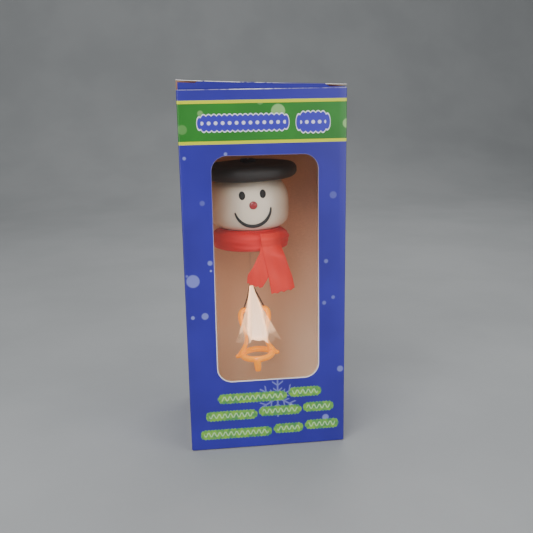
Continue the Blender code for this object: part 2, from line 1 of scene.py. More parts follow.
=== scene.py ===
"""Looks of a boxed hanging light: a snowman's head with hat, scarf and pendant, in a printed window carton.

Everything is in metres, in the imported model's frame: +Z up, the carton's window faces -Y. Patterns are drawn
in millimetres, because the surfaces are hand sized.
"""

import logging
import math
from contextlib import contextmanager
from dataclasses import dataclass
from enum import Enum
from functools import cache
from typing import Any, Callable, Iterator, Sequence

import bmesh
import bpy
from mathutils import Matrix, Vector


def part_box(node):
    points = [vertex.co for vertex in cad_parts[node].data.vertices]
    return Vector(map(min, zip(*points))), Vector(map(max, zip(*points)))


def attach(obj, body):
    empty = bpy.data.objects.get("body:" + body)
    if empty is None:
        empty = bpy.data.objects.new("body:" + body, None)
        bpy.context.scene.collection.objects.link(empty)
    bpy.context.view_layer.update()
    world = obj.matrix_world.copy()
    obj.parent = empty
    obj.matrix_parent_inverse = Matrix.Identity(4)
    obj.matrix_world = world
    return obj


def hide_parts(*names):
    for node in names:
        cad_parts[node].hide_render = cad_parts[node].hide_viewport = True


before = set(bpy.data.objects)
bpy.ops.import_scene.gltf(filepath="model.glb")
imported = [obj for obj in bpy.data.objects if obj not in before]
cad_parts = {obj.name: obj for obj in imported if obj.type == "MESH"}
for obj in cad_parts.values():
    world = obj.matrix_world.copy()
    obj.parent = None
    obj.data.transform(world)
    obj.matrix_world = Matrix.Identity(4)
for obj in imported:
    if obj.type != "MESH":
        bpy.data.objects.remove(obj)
LOG = logging.getLogger("boxed_light")
MM = 0.001
# From the head's widest level up to its open top.
HEAD_TOP = 13.0 * MM
Colour = tuple[float, float, float]


# ---------------------------------------------------------------- shader maths
class Value:
    """A number that varies over a surface; arithmetic on it adds Math nodes."""

    def __init__(self, graph: "Graph", socket: bpy.types.NodeSocket) -> None:
        """Wraps a socket of the graph's node tree."""
        self.graph = graph
        self.socket = socket

    def math(self, operation: str, *others: Any, clamp: bool = False) -> "Value":
        """Adds one Math node.

        Args:
            operation: the Math node's operation.
            others: the second and third operands, numbers or values.
            clamp: whether the result is kept between 0 and 1.

        Returns:
            The node's result.
        """
        settings = {"operation": operation, "use_clamp": clamp}
        return self.graph.value("ShaderNodeMath", settings, dict(enumerate((self, *others))))

    def __add__(self, other: Any) -> "Value":
        """self + other."""
        return self.math("ADD", other)

    __radd__ = __add__

    def __sub__(self, other: Any) -> "Value":
        """self - other."""
        return self.math("SUBTRACT", other)

    def __rsub__(self, other: float) -> "Value":
        """other - self."""
        return self.math("MULTIPLY_ADD", -1.0, other)

    def __mul__(self, other: Any) -> "Value":
        """self * other."""
        return self.math("MULTIPLY", other)

    __rmul__ = __mul__

    def __truediv__(self, other: Any) -> "Value":
        """self / other."""
        return self.math("DIVIDE", other)

    def __abs__(self) -> "Value":
        """The distance from zero."""
        return self.math("ABSOLUTE")

    def least(self, other: Any) -> "Value":
        """The smaller of the two: the union of two distance fields."""
        return self.math("MINIMUM", other)

    def most(self, other: Any) -> "Value":
        """The larger of the two: where two distance fields overlap."""
        return self.math("MAXIMUM", other)

    def wave(self, length: float, shift: float = 0.0) -> "Value":
        """A sine that repeats after the given length."""
        return (self * (math.tau / length) + shift).math("SINE")

    def beside(self, other: "Value") -> "Value":
        """The length of the vector (self, other)."""
        return (self * self + other * other).math("SQRT")

    def inside(self, soft: float = 0.12) -> "Value":
        """1 where this distance field is below zero, with a soft edge."""
        limits = {"From Min": soft, "From Max": -soft}
        return self.graph.value("ShaderNodeMapRange", {"interpolation_type": "SMOOTHSTEP"},
                                {"Value": self, **limits})

    def between(self, low: float, high: float) -> "Value":
        """Rises smoothly from 0 at low to 1 at high."""
        return self.graph.value("ShaderNodeMapRange", {"interpolation_type": "SMOOTHSTEP"},
                                {"Value": self, "From Min": low, "From Max": high})


class Graph:
    """One material's nodes round its Principled shader."""

    def __init__(self, name: str) -> None:
        """Makes an empty node material."""
        self.material = bpy.data.materials.new("look_" + name)
        self.material.use_nodes = True
        self.tree = self.material.node_tree
        self.shader = self.tree.nodes["Principled BSDF"]
        coordinates = self.node("ShaderNodeTexCoord")
        self.place = self.node("ShaderNodeVectorMath", {"operation": "SCALE"},
                               {0: coordinates.outputs["Object"], "Scale": 1 / MM}).outputs[0]

    def node(self, kind: str, settings: dict | None = None, inputs: dict | None = None) -> bpy.types.Node:
        """Adds a node.

        Args:
            kind: the node's type.
            settings: its own settings, set first.
            inputs: what goes into its sockets, by name or number: values, sockets or constants.

        Returns:
            The new node.
        """
        made = self.tree.nodes.new(kind)
        for name, setting in (settings or {}).items():
            setattr(made, name, setting)
        for key, given in (inputs or {}).items():
            self.feed(made.inputs[key], given)
        return made

    def feed(self, socket: bpy.types.NodeSocket, given: Any) -> None:
        """Links a value or a socket to a socket, or sets its constant."""
        if isinstance(given, Value):
            self.tree.links.new(given.socket, socket)
        elif isinstance(given, bpy.types.NodeSocket):
            self.tree.links.new(given, socket)
        else:
            socket.default_value = given

    def value(self, kind: str, settings: dict, inputs: dict) -> Value:
        """Adds a node and wraps its first output."""
        return Value(self, self.node(kind, settings, inputs).outputs[0])

    def axes(self) -> tuple[Value, Value, Value]:
        """The place on the piece, in millimetres, as three numbers."""
        split = self.node("ShaderNodeSeparateXYZ", inputs={0: self.place})
        return tuple(Value(self, socket) for socket in split.outputs)

    def noise(self, per_mm: float, detail: float = 3.0, stretch: Colour = (1.0, 1.0, 1.0)) -> Value:
        """Cloudy noise from 0 to 1, with the given number of cells in a millimetre."""
        seen = self.node("ShaderNodeMapping", inputs={"Vector": self.place, "Scale": stretch})
        inputs = {"Vector": seen.outputs[0], "Scale": per_mm, "Detail": detail}
        return self.value("ShaderNodeTexNoise", {}, inputs)

    def cells(self, per_mm: float) -> Value:
        """Distance to the nearest of some scattered points, in cells."""
        return self.value("ShaderNodeTexVoronoi", {}, {"Vector": self.place, "Scale": per_mm})

    def mix(self, factor: Any, first: Any, second: Any) -> bpy.types.NodeSocket:
        """Mixes two colours.

        Args:
            factor: 0 for the first, 1 for the second.
            first: a colour or a colour socket.
            second: a colour or a colour socket.

        Returns:
            The mixed colour's socket.
        """
        made = self.tree.nodes.new("ShaderNodeMix")
        made.data_type = "RGBA"
        self.feed(made.inputs["Factor"], factor)
        for name, given in (("A", first), ("B", second)):
            socket = next(s for s in made.inputs if s.name == name and s.type == "RGBA")
            self.feed(socket, (*given, 1.0) if isinstance(given, tuple) else given)
        return next(s for s in made.outputs if s.type == "RGBA")

    def relief(self, height: Value, depth_mm: float, strength: float = 1.0) -> None:
        """Feeds a height from 0 to 1 into the shader's normal."""
        inputs = {"Height": height, "Distance": depth_mm * MM, "Strength": strength}
        self.feed(self.shader.inputs["Normal"], self.node("ShaderNodeBump", inputs=inputs).outputs[0])

    def dress(self, **given: Any) -> bpy.types.Material:
        """Sets the shader's sockets, by their names with _ for a space, and returns the material."""
        for name, what in given.items():
            if isinstance(what, tuple) and "Radius" not in name:
                what = (*what, 1.0)
            self.feed(self.shader.inputs[name.replace("_", " ")], what)
        return self.material


# ---------------------------------------------------------------- finishes
@dataclass(frozen=True)
class Moulded:
    """A moulded or painted surface: mottled colour, uneven gloss and a fine grain."""

    name: str
    colour: Colour
    shade: Colour
    roughness: float = 0.45
    grain_per_mm: float = 3.0
    grain_depth_mm: float = 0.02
    mottle_per_mm: float = 0.12
    metallic: float = 0.0
    coat: float = 0.0
    sheen: float = 0.0
    subsurface: float = 0.0

    def make(self) -> bpy.types.Material:
        """Builds the material."""
        graph = Graph(self.name)
        mottle = graph.noise(self.mottle_per_mm, 4.0)
        grain = graph.noise(self.grain_per_mm, 5.0)
        graph.relief(grain, self.grain_depth_mm)
        return graph.dress(Base_Color=graph.mix(mottle.between(0.3, 0.7), self.colour, self.shade),
                           Roughness=self.roughness + 0.16 * (grain - 0.5) + 0.1 * (mottle - 0.5),
                           Metallic=self.metallic, Coat_Weight=self.coat, Coat_Roughness=0.15,
                           Sheen_Weight=self.sheen, Sheen_Roughness=0.4,
                           Subsurface_Weight=self.subsurface, Subsurface_Radius=(1.0, 0.8, 0.6),
                           Subsurface_Scale=3 * MM)


@dataclass(frozen=True)
class Bar:
    """A printed garland: a bar with a scalloped edge, and a pale wavy line or a row of beads along it."""

    start: float
    end: float
    level: float
    half_height: float = 2.35
    scallop: float = 0.45
    scallop_length: float = 1.7
    wave_height: float = 0.95
    wave_length: float = 2.9

    def edge(self, across: Value, up: Value) -> Value:
        """How far a place is outside the bar's edge."""
        flat = (self.end - self.start) / 2 - self.half_height
        past = (abs(across - (self.start + self.end) / 2) - flat).most(0.0)
        bumps = abs(across.wave(2 * self.scallop_length, self.level)) * self.scallop
        return past.beside(up - self.level) - self.half_height - bumps

    def line(self, across: Value, up: Value) -> Value:
        """How far a place is from the wavy line, or from the beads where the wave has no height."""
        flat = (self.end - self.start) / 2 - self.half_height * 0.8
        past = (abs(across - (self.start + self.end) / 2) - flat).most(0.0)
        if not self.wave_height:
            bead = (across - self.start).math("FLOORED_MODULO", self.wave_length) - self.wave_length / 2
            return bead.beside(up - self.level) + (past - self.half_height * 0.4).most(0.0) * 4.0
        steep = self.wave_height * math.tau / self.wave_length
        line = across.wave(self.wave_length) * self.wave_height + self.level
        slope = across.wave(self.wave_length, math.pi / 2) * steep
        off = abs(up - line) / (slope * slope + 1.0).math("SQRT")
        return off.beside(past)


@dataclass(frozen=True)
class PrintedCard:
    """Glossy card, printed blue with a green band, bars and soft snow dots."""

    name: str = "printed_card"
    half_depth: float = 35.0
    top: float = 181.7
    blue: Colour = (0.020, 0.013, 0.300)
    deep_blue: Colour = (0.016, 0.010, 0.240)
    green: Colour = (0.010, 0.150, 0.008)
    light_green: Colour = (0.014, 0.190, 0.012)
    yellow: Colour = (0.58, 0.61, 0.001)
    stripes: tuple[float, float] = (176.0, 157.3)
    stripe_half: float = 0.75
    # Set for the lid fold's finish: its pale line is worn print and painted highlight.
    rubbed_and_highlit: bool = False
    title: tuple[Bar, ...] = (Bar(-30.5, 11.8, 166.3, 3.1, 0.75, 2.45, 0.0, 3.254),
                              Bar(16.0, 31.4, 166.0, 4.1, 0.8, 2.45, 0.0, 3.08))
    rows: tuple[Bar, ...] = (Bar(-25.5, 9.5, 28.0), Bar(11, 27.5, 29.4), Bar(-32, -6, 18.7),
                             Bar(-4.5, 17, 19.8), Bar(18.5, 34, 20.6), Bar(-35, 1.5, 8.6),
                             Bar(3, 18, 9.6), Bar(19.5, 36.8, 10.6))
    window_middle: tuple[float, float] = (0.5, 94.25)
    window_half: tuple[float, float] = (25.7, 56.85)
    window_corner: float = 7.3
    # Snow dots: place across, height, radius, strength.
    blue_dots: tuple[tuple[float, float, float, float], ...] = (
        (-35.9, 90.8, 3.2, 0.55), (-30.7, 72.7, 1.7, 0.55), (-36.7, 72.2, 0.9, 0.7), (-27.3, 99.6, 1.2, 0.6),
        (-27.0, 95.7, 0.5, 0.9), (-38.7, 93.5, 0.6, 0.4), (-18.2, 152.0, 0.8, 0.6), (-37.6, 150.4, 0.8, 0.6),
        (30.1, 98.1, 1.0, 0.4), (29.2, 76.6, 1.0, 0.4), (33.8, 79.3, 0.9, 0.4), (37.7, 40.7, 1.6, 0.5),
        (30.1, 14.1, 1.7, 0.6), (11.9, 22.4, 0.6, 1.0), (-30.0, 129.0, 1.2, 0.25), (33.5, 131.0, 1.7, 0.22))
    green_dots: tuple[tuple[float, float, float, float], ...] = (
        (7.0, 171.3, 3.3, 0.6), (40.3, 165.1, 2.3, 0.6), (-29.4, 170.9, 1.3, 0.4), (-1.4, 176.0, 1.6, 0.25),
        (-38.0, 163.6, 2.2, 0.2))

    @staticmethod
    def dots(graph: Graph, across: Value, up: Value, spots: Sequence[tuple[float, ...]]) -> Value:
        """Soft-edged round spots.

        Args:
            graph: the material's nodes.
            across: place across the panel.
            up: height on the panel.
            spots: place, height, radius and strength of each.

        Returns:
            How strongly the spots cover a place, from 0 to 1.
        """
        cover = None
        for middle, height, radius, strength in spots:
            spot = ((across - middle).beside(up - height) - radius).inside(0.35) * strength
            cover = spot if cover is None else cover.most(spot)
        return cover

    @staticmethod
    def snowflake(across: Value, up: Value) -> Value:
        """A six-armed snowflake's distance field, 10.6 mm from its centre to each tip."""
        side, rise = across - 5.0, up - 26.8
        sixth = math.pi / 3
        turn = rise.math("ARCTAN2", side) - math.pi / 2 + sixth / 2 + 4 * sixth
        folded = turn.math("FLOORED_MODULO", sixth) - sixth / 2
        reach = side.beside(rise)
        along, off = reach * folded.math("COSINE"), abs(reach * folded.math("SINE"))
        shape = (off - 0.42).most(along - 10.6)
        lean = math.radians(52)
        for root, twig in ((3.6, 2.3), (6.9, 2.8)):
            line = abs((along - root) * math.sin(lean) - off * math.cos(lean)) - 0.36
            shape = shape.least(line.most(off - twig))
        return shape

    def window_rim(self, across: Value, up: Value) -> Value:
        """The bare white line where the print stops short of the window's cut edge; towards the bottom it is
        painted wider and brighter, as painted light on the lit cut edge.
        """
        side = abs(across - self.window_middle[0]) - (self.window_half[0] - self.window_corner)
        rise = abs(up - self.window_middle[1]) - (self.window_half[1] - self.window_corner)
        off = side.most(0.0).beside(rise.most(0.0)) + side.most(rise).least(0.0) - self.window_corner
        # Painted light: the line is wider and brighter towards the bottom.
        low = (100.0 - up).between(-45.0, 50.0)
        return (off - (0.08 + 0.34 * low)).inside(0.12) * (0.30 + 0.62 * low)

    def make(self) -> bpy.types.Material:
        """Builds the material."""
        graph = Graph(self.name)
        x, y, z = graph.axes()
        front = (y + (self.half_depth - 1.0)).inside(0.1)
        cloud = graph.noise(0.035, 2.0)
        colour = graph.mix(cloud.between(0.3, 0.7), self.blue, self.deep_blue)
        pale_blue, pale_green = (0.36, 0.42, 0.88), (0.50, 0.80, 0.30)
        colour = graph.mix(self.dots(graph, x, z, self.blue_dots) * front * 0.75, colour, pale_blue)
        scattered = (graph.cells(0.045) - 0.085).inside(0.012) * (1 - front) * 0.45
        colour = graph.mix(scattered, colour, pale_blue)
        flake = self.snowflake(x, z).inside(0.2) * front
        colour = graph.mix(flake * 0.36, colour, pale_blue)
        high, low = self.stripes
        band = (abs(z - (high + low) / 2) - (high - low) / 2).inside()
        green = graph.mix(graph.noise(0.06, 2.0).between(0.25, 0.75), self.green, self.light_green)
        green = graph.mix(self.dots(graph, x, z, self.green_dots) * front * 0.7, green, pale_green)
        green = graph.mix(scattered, green, pale_green)
        colour = graph.mix(band, colour, green)
        stripe = (abs(z - high).least(abs(z - low)) - self.stripe_half).inside()
        colour = graph.mix(stripe, colour, self.yellow)
        for bars, leaf, outline, core in (
                (self.title, (0.030, 0.022, 0.40), (0.80, 0.80, 0.90), (0.72, 0.70, 0.95)),
                (self.rows, None, None, (0.44, 0.70, 0.36))):
            edge = line = None
            for bar in bars:
                edge = bar.edge(x, z) if edge is None else edge.least(bar.edge(x, z))
                line = bar.line(x, z) if line is None else line.least(bar.line(x, z))
            if outline is None:
                tint = graph.noise(0.5, 3.0).between(0.35, 0.65)
                leaf = graph.mix(tint, (0.06, 0.24, 0.07), (0.18, 0.42, 0.04))
            else:
                colour = graph.mix((edge - 0.5).inside() * front, colour, outline)
            colour = graph.mix(edge.inside(0.25) * front, colour, leaf)
            width = 0.85 if outline else 0.30
            colour = graph.mix((line - width).inside(0.2) * front * (0.95 if outline else 0.8), colour, core)
        colour = graph.mix(self.window_rim(x, z) * front, colour, (0.86, 0.82, 0.80))
        # Pale line along the lid's fold on the fold's finish, and along the front panel's top edge on the
        # card: partly print worn to bare board, partly painted highlight, strongest left of centre and fading
        # to the right.
        patchy = graph.noise(0.35, 6.0)
        if self.rubbed_and_highlit:
            wear = (-1 * x).between(-22.0, 14.0) * patchy.between(0.34, 0.50) + 0.12
        else:
            edge = (abs(z - (self.top - 0.12)) - 0.22).inside(0.12) * front
            middle = (18.0 - abs(x + 5.0)).between(0.0, 14.0)
            wear = edge * (0.30 + 0.7 * middle) * patchy.between(0.30, 0.52)
        colour = graph.mix(wear * 0.85, colour, (0.84, 0.84, 0.92))
        fibre = graph.noise(2.2, 5.0)
        smear = graph.noise(0.08, 3.0, (1.0, 1.0, 0.35))
        graph.relief(fibre, 0.02, 0.6)
        return graph.dress(Base_Color=colour, Roughness=0.34 + 0.18 * smear + 0.25 * wear,
                           Coat_Weight=0.25, Coat_Roughness=0.22)


@dataclass(frozen=True)
class GreyBoard:
    """The unprinted side of the carton board: dull, brownish, with short fibres, and painted paler towards the
    bottom as painted light.
    """

    name: str = "grey_board"
    light: Colour = (0.90, 0.60, 0.40)
    dark: Colour = (0.78, 0.51, 0.33)

    def make(self) -> bpy.types.Material:
        """Builds the material."""
        graph = Graph(self.name)
        fibre = graph.noise(2.5, 6.0, (0.35, 1.0, 1.6))
        cloud = graph.noise(0.05, 3.0)
        speck = (graph.cells(0.55) - 0.09).inside(0.03) * 0.35
        colour = graph.mix((0.6 * fibre + 0.4 * cloud).between(0.35, 0.65), self.light, self.dark)
        _, _, z = graph.axes()
        # Painted light: the board turns paler towards the bottom, where more light falls in through the
        # window.
        colour = graph.mix((112.0 - z).between(0.0, 75.0) * 0.8, colour, (0.97, 0.84, 0.68))
        graph.relief(fibre, 0.035)
        return graph.dress(Base_Color=graph.mix(speck, colour, (0.50, 0.34, 0.22)),
                           Roughness=0.78 + 0.15 * fibre)


@dataclass(frozen=True)
class CutEdge:
    """The white core that a die leaves bare along a cut."""

    name: str = "cut_edge"

    def make(self) -> bpy.types.Material:
        """Builds the material."""
        graph = Graph(self.name)
        fibre = graph.noise(5.0, 5.0)
        graph.relief(fibre, 0.06)
        colour = graph.mix(fibre.between(0.3, 0.7), (0.90, 0.88, 0.86), (0.70, 0.67, 0.64))
        return graph.dress(Base_Color=colour, Roughness=0.7 + 0.2 * fibre)


@dataclass(frozen=True)
class ClearFilm:
    """Thin clear film: mostly see-through, with the gloss of its two faces."""

    name: str = "clear_film"
    gloss: float = 0.022
    haze: float = 0.022

    def make(self) -> bpy.types.Material:
        """Builds the material."""
        graph = Graph(self.name)
        smear = graph.noise(0.05, 3.0, (1.0, 1.0, 0.4))
        return graph.dress(Base_Color=(0.93, 0.93, 0.93), Metallic=1.0, Roughness=0.06 + 0.12 * smear,
                           Alpha=self.gloss + self.haze * smear)


@dataclass(frozen=True)
class Amber:
    """Glossy see-through orange plastic, with a painted glow."""

    name: str = "amber_plastic"

    def make(self) -> bpy.types.Material:
        """Builds the material."""
        graph = Graph(self.name)
        flow = graph.noise(0.35, 3.0)
        graph.relief(graph.noise(0.9, 2.0), 0.05, 0.5)
        colour = graph.mix(flow.between(0.3, 0.7), (1.0, 0.46, 0.015), (1.0, 0.34, 0.008))
        # The emission is a painted glow; the plastic is no lamp.
        return graph.dress(Base_Color=colour,
                           Roughness=0.12 + 0.1 * flow, Alpha=0.90 + 0.10 * flow, Coat_Weight=0.6,
                           Coat_Roughness=0.05, Subsurface_Weight=0.25, Subsurface_Radius=(1.0, 0.45, 0.1),
                           Subsurface_Scale=2 * MM, Emission_Color=(1.0, 0.34, 0.0), Emission_Strength=0.55)


@dataclass(frozen=True)
class FrostedDrop:
    """Milky see-through plastic, denser along its folds, with a painted highlight stripe down its middle and a
    painted glow.
    """

    name: str = "frosted_drop"

    def make(self) -> bpy.types.Material:
        """Builds the material."""
        graph = Graph(self.name)
        streak = graph.noise(0.55, 3.0, (1.0, 1.0, 0.12))
        x, _, z = graph.axes()
        drop = 81.8 - z
        # Painted highlight: a dense bright stripe down the drop's middle.
        middle = x + 4.3 - 0.4 - 0.075 * drop
        painted_highlight_strip = (abs(middle) - (1.0 + 0.13 * drop)).inside(1.2)
        foot = (49.0 - z).between(-4.5, 1.0)
        cover = (0.04 + 0.20 * streak + 0.90 * painted_highlight_strip - 0.60 * foot).math("MAXIMUM", 0.04, clamp=True)
        graph.relief(streak, 0.25, 0.7)
        # The emission is a painted glow; the drop is no lamp.
        return graph.dress(Base_Color=graph.mix(streak, (0.97, 0.84, 0.72), (1.0, 0.94, 0.86)),
                           Roughness=0.22 + 0.2 * streak, Alpha=cover, Coat_Weight=0.4,
                           Emission_Color=(1.0, 0.56, 0.28), Emission_Strength=1.7)


@dataclass(frozen=True)
class Braid:
    """Fine twisted cord, with painted shade in its twist's grooves."""

    name: str
    colour: Colour
    # dark: the painted shade in the twist's grooves.
    dark: Colour
    twist_mm: float = 0.9

    def make(self) -> bpy.types.Material:
        """Builds the material."""
        graph = Graph(self.name)
        x, _, z = graph.axes()
        strand = (z + x * 1.4).wave(self.twist_mm) * 0.5 + 0.5
        graph.relief(strand, 0.12)
        # Painted shade: the dark colour follows the twist's grooves, broken up by noise.
        return graph.dress(Base_Color=graph.mix(strand * graph.noise(2.0), self.dark, self.colour),
                           Roughness=0.75 + 0.1 * strand, Sheen_Weight=0.2)


class Finish(Enum):
    """Every finish that the pieces wear."""

    CARD = PrintedCard()
    # The lid's fold: worn print with a painted highlight along it.
    FOLD = PrintedCard("worn_highlit_fold", rubbed_and_highlit=True)
    BOARD = GreyBoard()
    EDGE = CutEdge()
    FILM = ClearFilm()
    AMBER = Amber()
    DROP = FrostedDrop()
    # Cords: the second colour is the painted shade in the twist's grooves.
    CORD = Braid("brown_cord", (0.16, 0.085, 0.045), (0.03, 0.016, 0.01))
    SHELL = Moulded("frosted_shell", (0.90, 0.76, 0.60), (0.84, 0.69, 0.54), 0.40, 2.0, 0.008, 0.05,
                    coat=0.15, subsurface=0.30)
    HAT = Moulded("hat_plastic", (0.018, 0.015, 0.014), (0.027, 0.022, 0.020), 0.62, 4.0, 0.03, 0.08)
    INK = Moulded("face_ink", (0.006, 0.004, 0.003), (0.012, 0.007, 0.005), 0.70, 3.0, 0.01, 0.4)
    NOSE = Moulded("nose_paint", (0.42, 0.016, 0.022), (0.30, 0.012, 0.018), 0.30, 3.0, 0.01, 0.4, coat=0.3)
    SCARF = Moulded("scarf_vinyl", (0.80, 0.006, 0.004), (0.70, 0.005, 0.004), 0.62, 5.0, 0.03, 0.07,
                    sheen=0.06, subsurface=0.06)
    TAIL = Moulded("scarf_tail_vinyl", (0.84, 0.020, 0.002), (0.74, 0.014, 0.002), 0.60, 5.0, 0.03, 0.07,
                   sheen=0.06, subsurface=0.06)
    LINE = Braid("thin_line", (0.92, 0.70, 0.52), (0.74, 0.54, 0.38))
    WHITE = Moulded("white_plastic", (0.74, 0.74, 0.71), (0.68, 0.68, 0.65), 0.40, 4.0, 0.01)
    RUBBER = Moulded("black_rubber", (0.014, 0.014, 0.014), (0.022, 0.022, 0.022), 0.75, 6.0, 0.03)
    CIRCUIT = Moulded("circuit_board", (0.015, 0.17, 0.055), (0.030, 0.24, 0.085), 0.35, 1.2, 0.03, 0.9,
                      coat=0.3)
    PHOSPHOR = Moulded("led_phosphor", (0.80, 0.66, 0.10), (0.70, 0.55, 0.06), 0.25, 4.0, 0.02, 0.8,
                       coat=0.5)
    FOIL = Moulded("cell_foil", (0.62, 0.63, 0.65), (0.52, 0.53, 0.56), 0.32, 1.5, 0.05, 0.3,
                   metallic=0.8)
    STEEL = Moulded("plated_steel", (0.62, 0.62, 0.62), (0.50, 0.50, 0.51), 0.28, 6.0, 0.01, 0.5,
                    metallic=1.0)
    FLOOR = Moulded("pale_floor", (0.335, 0.347, 0.352), (0.305, 0.317, 0.322), 0.62, 0.4, 0.02, 0.01)


@cache
def material_of(worn: Finish) -> bpy.types.Material:
    """The finish's material, made once."""
    return worn.value.make()


# ---------------------------------------------------------------- workbench
def deselect() -> None:
    """Leaves edit mode and selects nothing."""
    if bpy.context.mode != "OBJECT":
        bpy.ops.object.mode_set(mode="OBJECT")
    bpy.ops.object.select_all(action="DESELECT")


def hold(piece: bpy.types.Object) -> None:
    """Makes the piece the one that operators act on."""
    deselect()
    piece.select_set(True)
    bpy.context.view_layer.objects.active = piece


def primitive(kind: str, name: str, **sizes: Any) -> bpy.types.Object:
    """Adds a primitive to start a piece from.

    Args:
        kind: the operator's name without primitive_ and _add.
        name: the piece's name.
        sizes: the operator's own arguments.

    Returns:
        The new object, with its scale and turn already in its mesh.
    """
    deselect()
    getattr(bpy.ops.mesh, f"primitive_{kind}_add")(**sizes)
    piece = bpy.context.object
    piece.name = piece.data.name = name
    bpy.ops.object.transform_apply(location=True, rotation=True, scale=True)
    return piece


@contextmanager
def editing(piece: bpy.types.Object, selected: bool = False) -> Iterator[None]:
    """Edit mode, with nothing selected or with everything."""
    hold(piece)
    bpy.ops.object.mode_set(mode="EDIT")
    bpy.ops.mesh.select_all(action="SELECT" if selected else "DESELECT")
    yield
    bpy.ops.object.mode_set(mode="OBJECT")


def pick(piece: bpy.types.Object, kind: str, wanted: Callable[[Any], bool]) -> None:
    """Selects the parts of a mesh in edit mode that pass a test.

    Args:
        piece: the piece.
        kind: FACE or EDGE.
        wanted: the test.
    """
    bpy.ops.mesh.select_mode(type=kind)
    mesh = bmesh.from_edit_mesh(piece.data)
    for part in mesh.faces if kind == "FACE" else mesh.edges:
        part.select_set(wanted(part))
    bmesh.update_edit_mesh(piece.data)


def along(edge: bmesh.types.BMEdge, axis: int) -> float:
    """How nearly an edge runs along an axis, from 0 to 1."""
    return abs((edge.verts[0].co - edge.verts[1].co).normalized()[axis])


def shape(piece: bpy.types.Object, move: Callable[[Vector], Vector]) -> None:
    """Moves every vertex to where move puts it."""
    for vertex in piece.data.vertices:
        vertex.co = move(vertex.co.copy())
    piece.data.update()


def modify(piece: bpy.types.Object, kind: str, **settings: Any) -> None:
    """Adds one modifier and applies it."""
    hold(piece)
    modifier = piece.modifiers.new(kind.lower(), kind)
    for name, setting in settings.items():
        setattr(modifier, name, setting)
    bpy.ops.object.modifier_apply(modifier=modifier.name)


def carve(piece: bpy.types.Object, cutter: bpy.types.Object) -> None:
    """Cuts the cutter's shape out of the piece and removes the cutter."""
    modify(piece, "BOOLEAN", operation="DIFFERENCE", object=cutter, solver="EXACT")
    bpy.data.objects.remove(cutter, do_unlink=True)


def soften(piece: bpy.types.Object) -> None:
    """Subdivides the piece once, smoothly."""
    modify(piece, "SUBSURF", levels=1, render_levels=1)


def face_out(piece: bpy.types.Object) -> None:
    """Turns every face outwards."""
    with editing(piece, selected=True):
        bpy.ops.mesh.remove_doubles(threshold=0.000001)
        bpy.ops.mesh.normals_make_consistent(inside=False)


def wear(piece: bpy.types.Object, finishes: Sequence[Finish]) -> None:
    """Puts one finish in each of the piece's material slots, adding slots where they are missing."""
    slots = piece.data.materials
    for number, worn in enumerate(finishes):
        if number < len(slots):
            slots[number] = material_of(worn)
        else:
            slots.append(material_of(worn))


def finish(piece: bpy.types.Object, body: str, finishes: Sequence[Finish], nodes: Sequence[str] = (),
           sharp: float = 40.0) -> bpy.types.Object:
    """Dresses a piece, smooths it and puts it on its body.

    Args:
        piece: the piece, with its place in its mesh.
        body: the body that it moves with.
        finishes: one finish for each material number that its faces use.
        nodes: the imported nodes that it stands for.
        sharp: edges sharper than this many degrees stay crisp.

    Returns:
        The piece.
    """
    wear(piece, finishes)
    hold(piece)
    bpy.ops.object.shade_smooth_by_angle(angle=math.radians(sharp))
    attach(piece, body)
    if nodes:
        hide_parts(*nodes)
    LOG.info("%s on %s: %d faces", piece.name, body, len(piece.data.polygons))
    return piece


def cable(name: str, route: Sequence[Vector], radii: Sequence[float], sides: int = 4) -> bpy.types.Object:
    """A round bar along a smooth curve.

    Args:
        name: the piece's name.
        route: the points that it passes through.
        radii: its radius at each point.
        sides: the bevel's resolution.

    Returns:
        The bar as a closed mesh.
    """
    deselect()
    data = bpy.data.curves.new(name, "CURVE")
    data.dimensions = "3D"
    data.bevel_depth = 1.0
    data.bevel_resolution = sides
    data.use_fill_caps = True
    data.resolution_u = 8
    spline = data.splines.new("BEZIER")
    spline.bezier_points.add(len(route) - 1)
    for point, place, radius in zip(spline.bezier_points, route, radii):
        point.co = place
        point.radius = radius
        point.handle_left_type = point.handle_right_type = "AUTO"
    piece = bpy.data.objects.new(name, data)
    bpy.context.scene.collection.objects.link(piece)
    hold(piece)
    bpy.ops.object.convert(target="MESH")
    piece = bpy.context.object
    piece.data.name = name
    face_out(piece)
    return piece


def ease(share: float) -> float:
    """Goes smoothly from 0 to 1."""
    share = min(1.0, max(0.0, share))
    return share * share * (3 - 2 * share)


def corners(node: str) -> tuple[Vector, Vector]:
    """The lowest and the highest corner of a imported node's box."""
    low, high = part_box(node)
    return Vector(low), Vector(high)


def middle_of(node: str) -> Vector:
    """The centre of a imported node's box."""
    low, high = corners(node)
    return (low + high) / 2


def block(name: str, low: Vector, high: Vector) -> bpy.types.Object:
    """A block between two corners."""
    return primitive("cube", name, size=1.0, location=(low + high) / 2, scale=high - low)


def board_blank(name: str, cuts: int) -> bpy.types.Object:
    """A unit cube, cut finely enough to be laid out as a sheet of board."""
    piece = primitive("cube", name, size=1.0, scale=(1, 1, 1))
    with editing(piece, selected=True):
        bpy.ops.mesh.subdivide(number_cuts=cuts)
    return piece


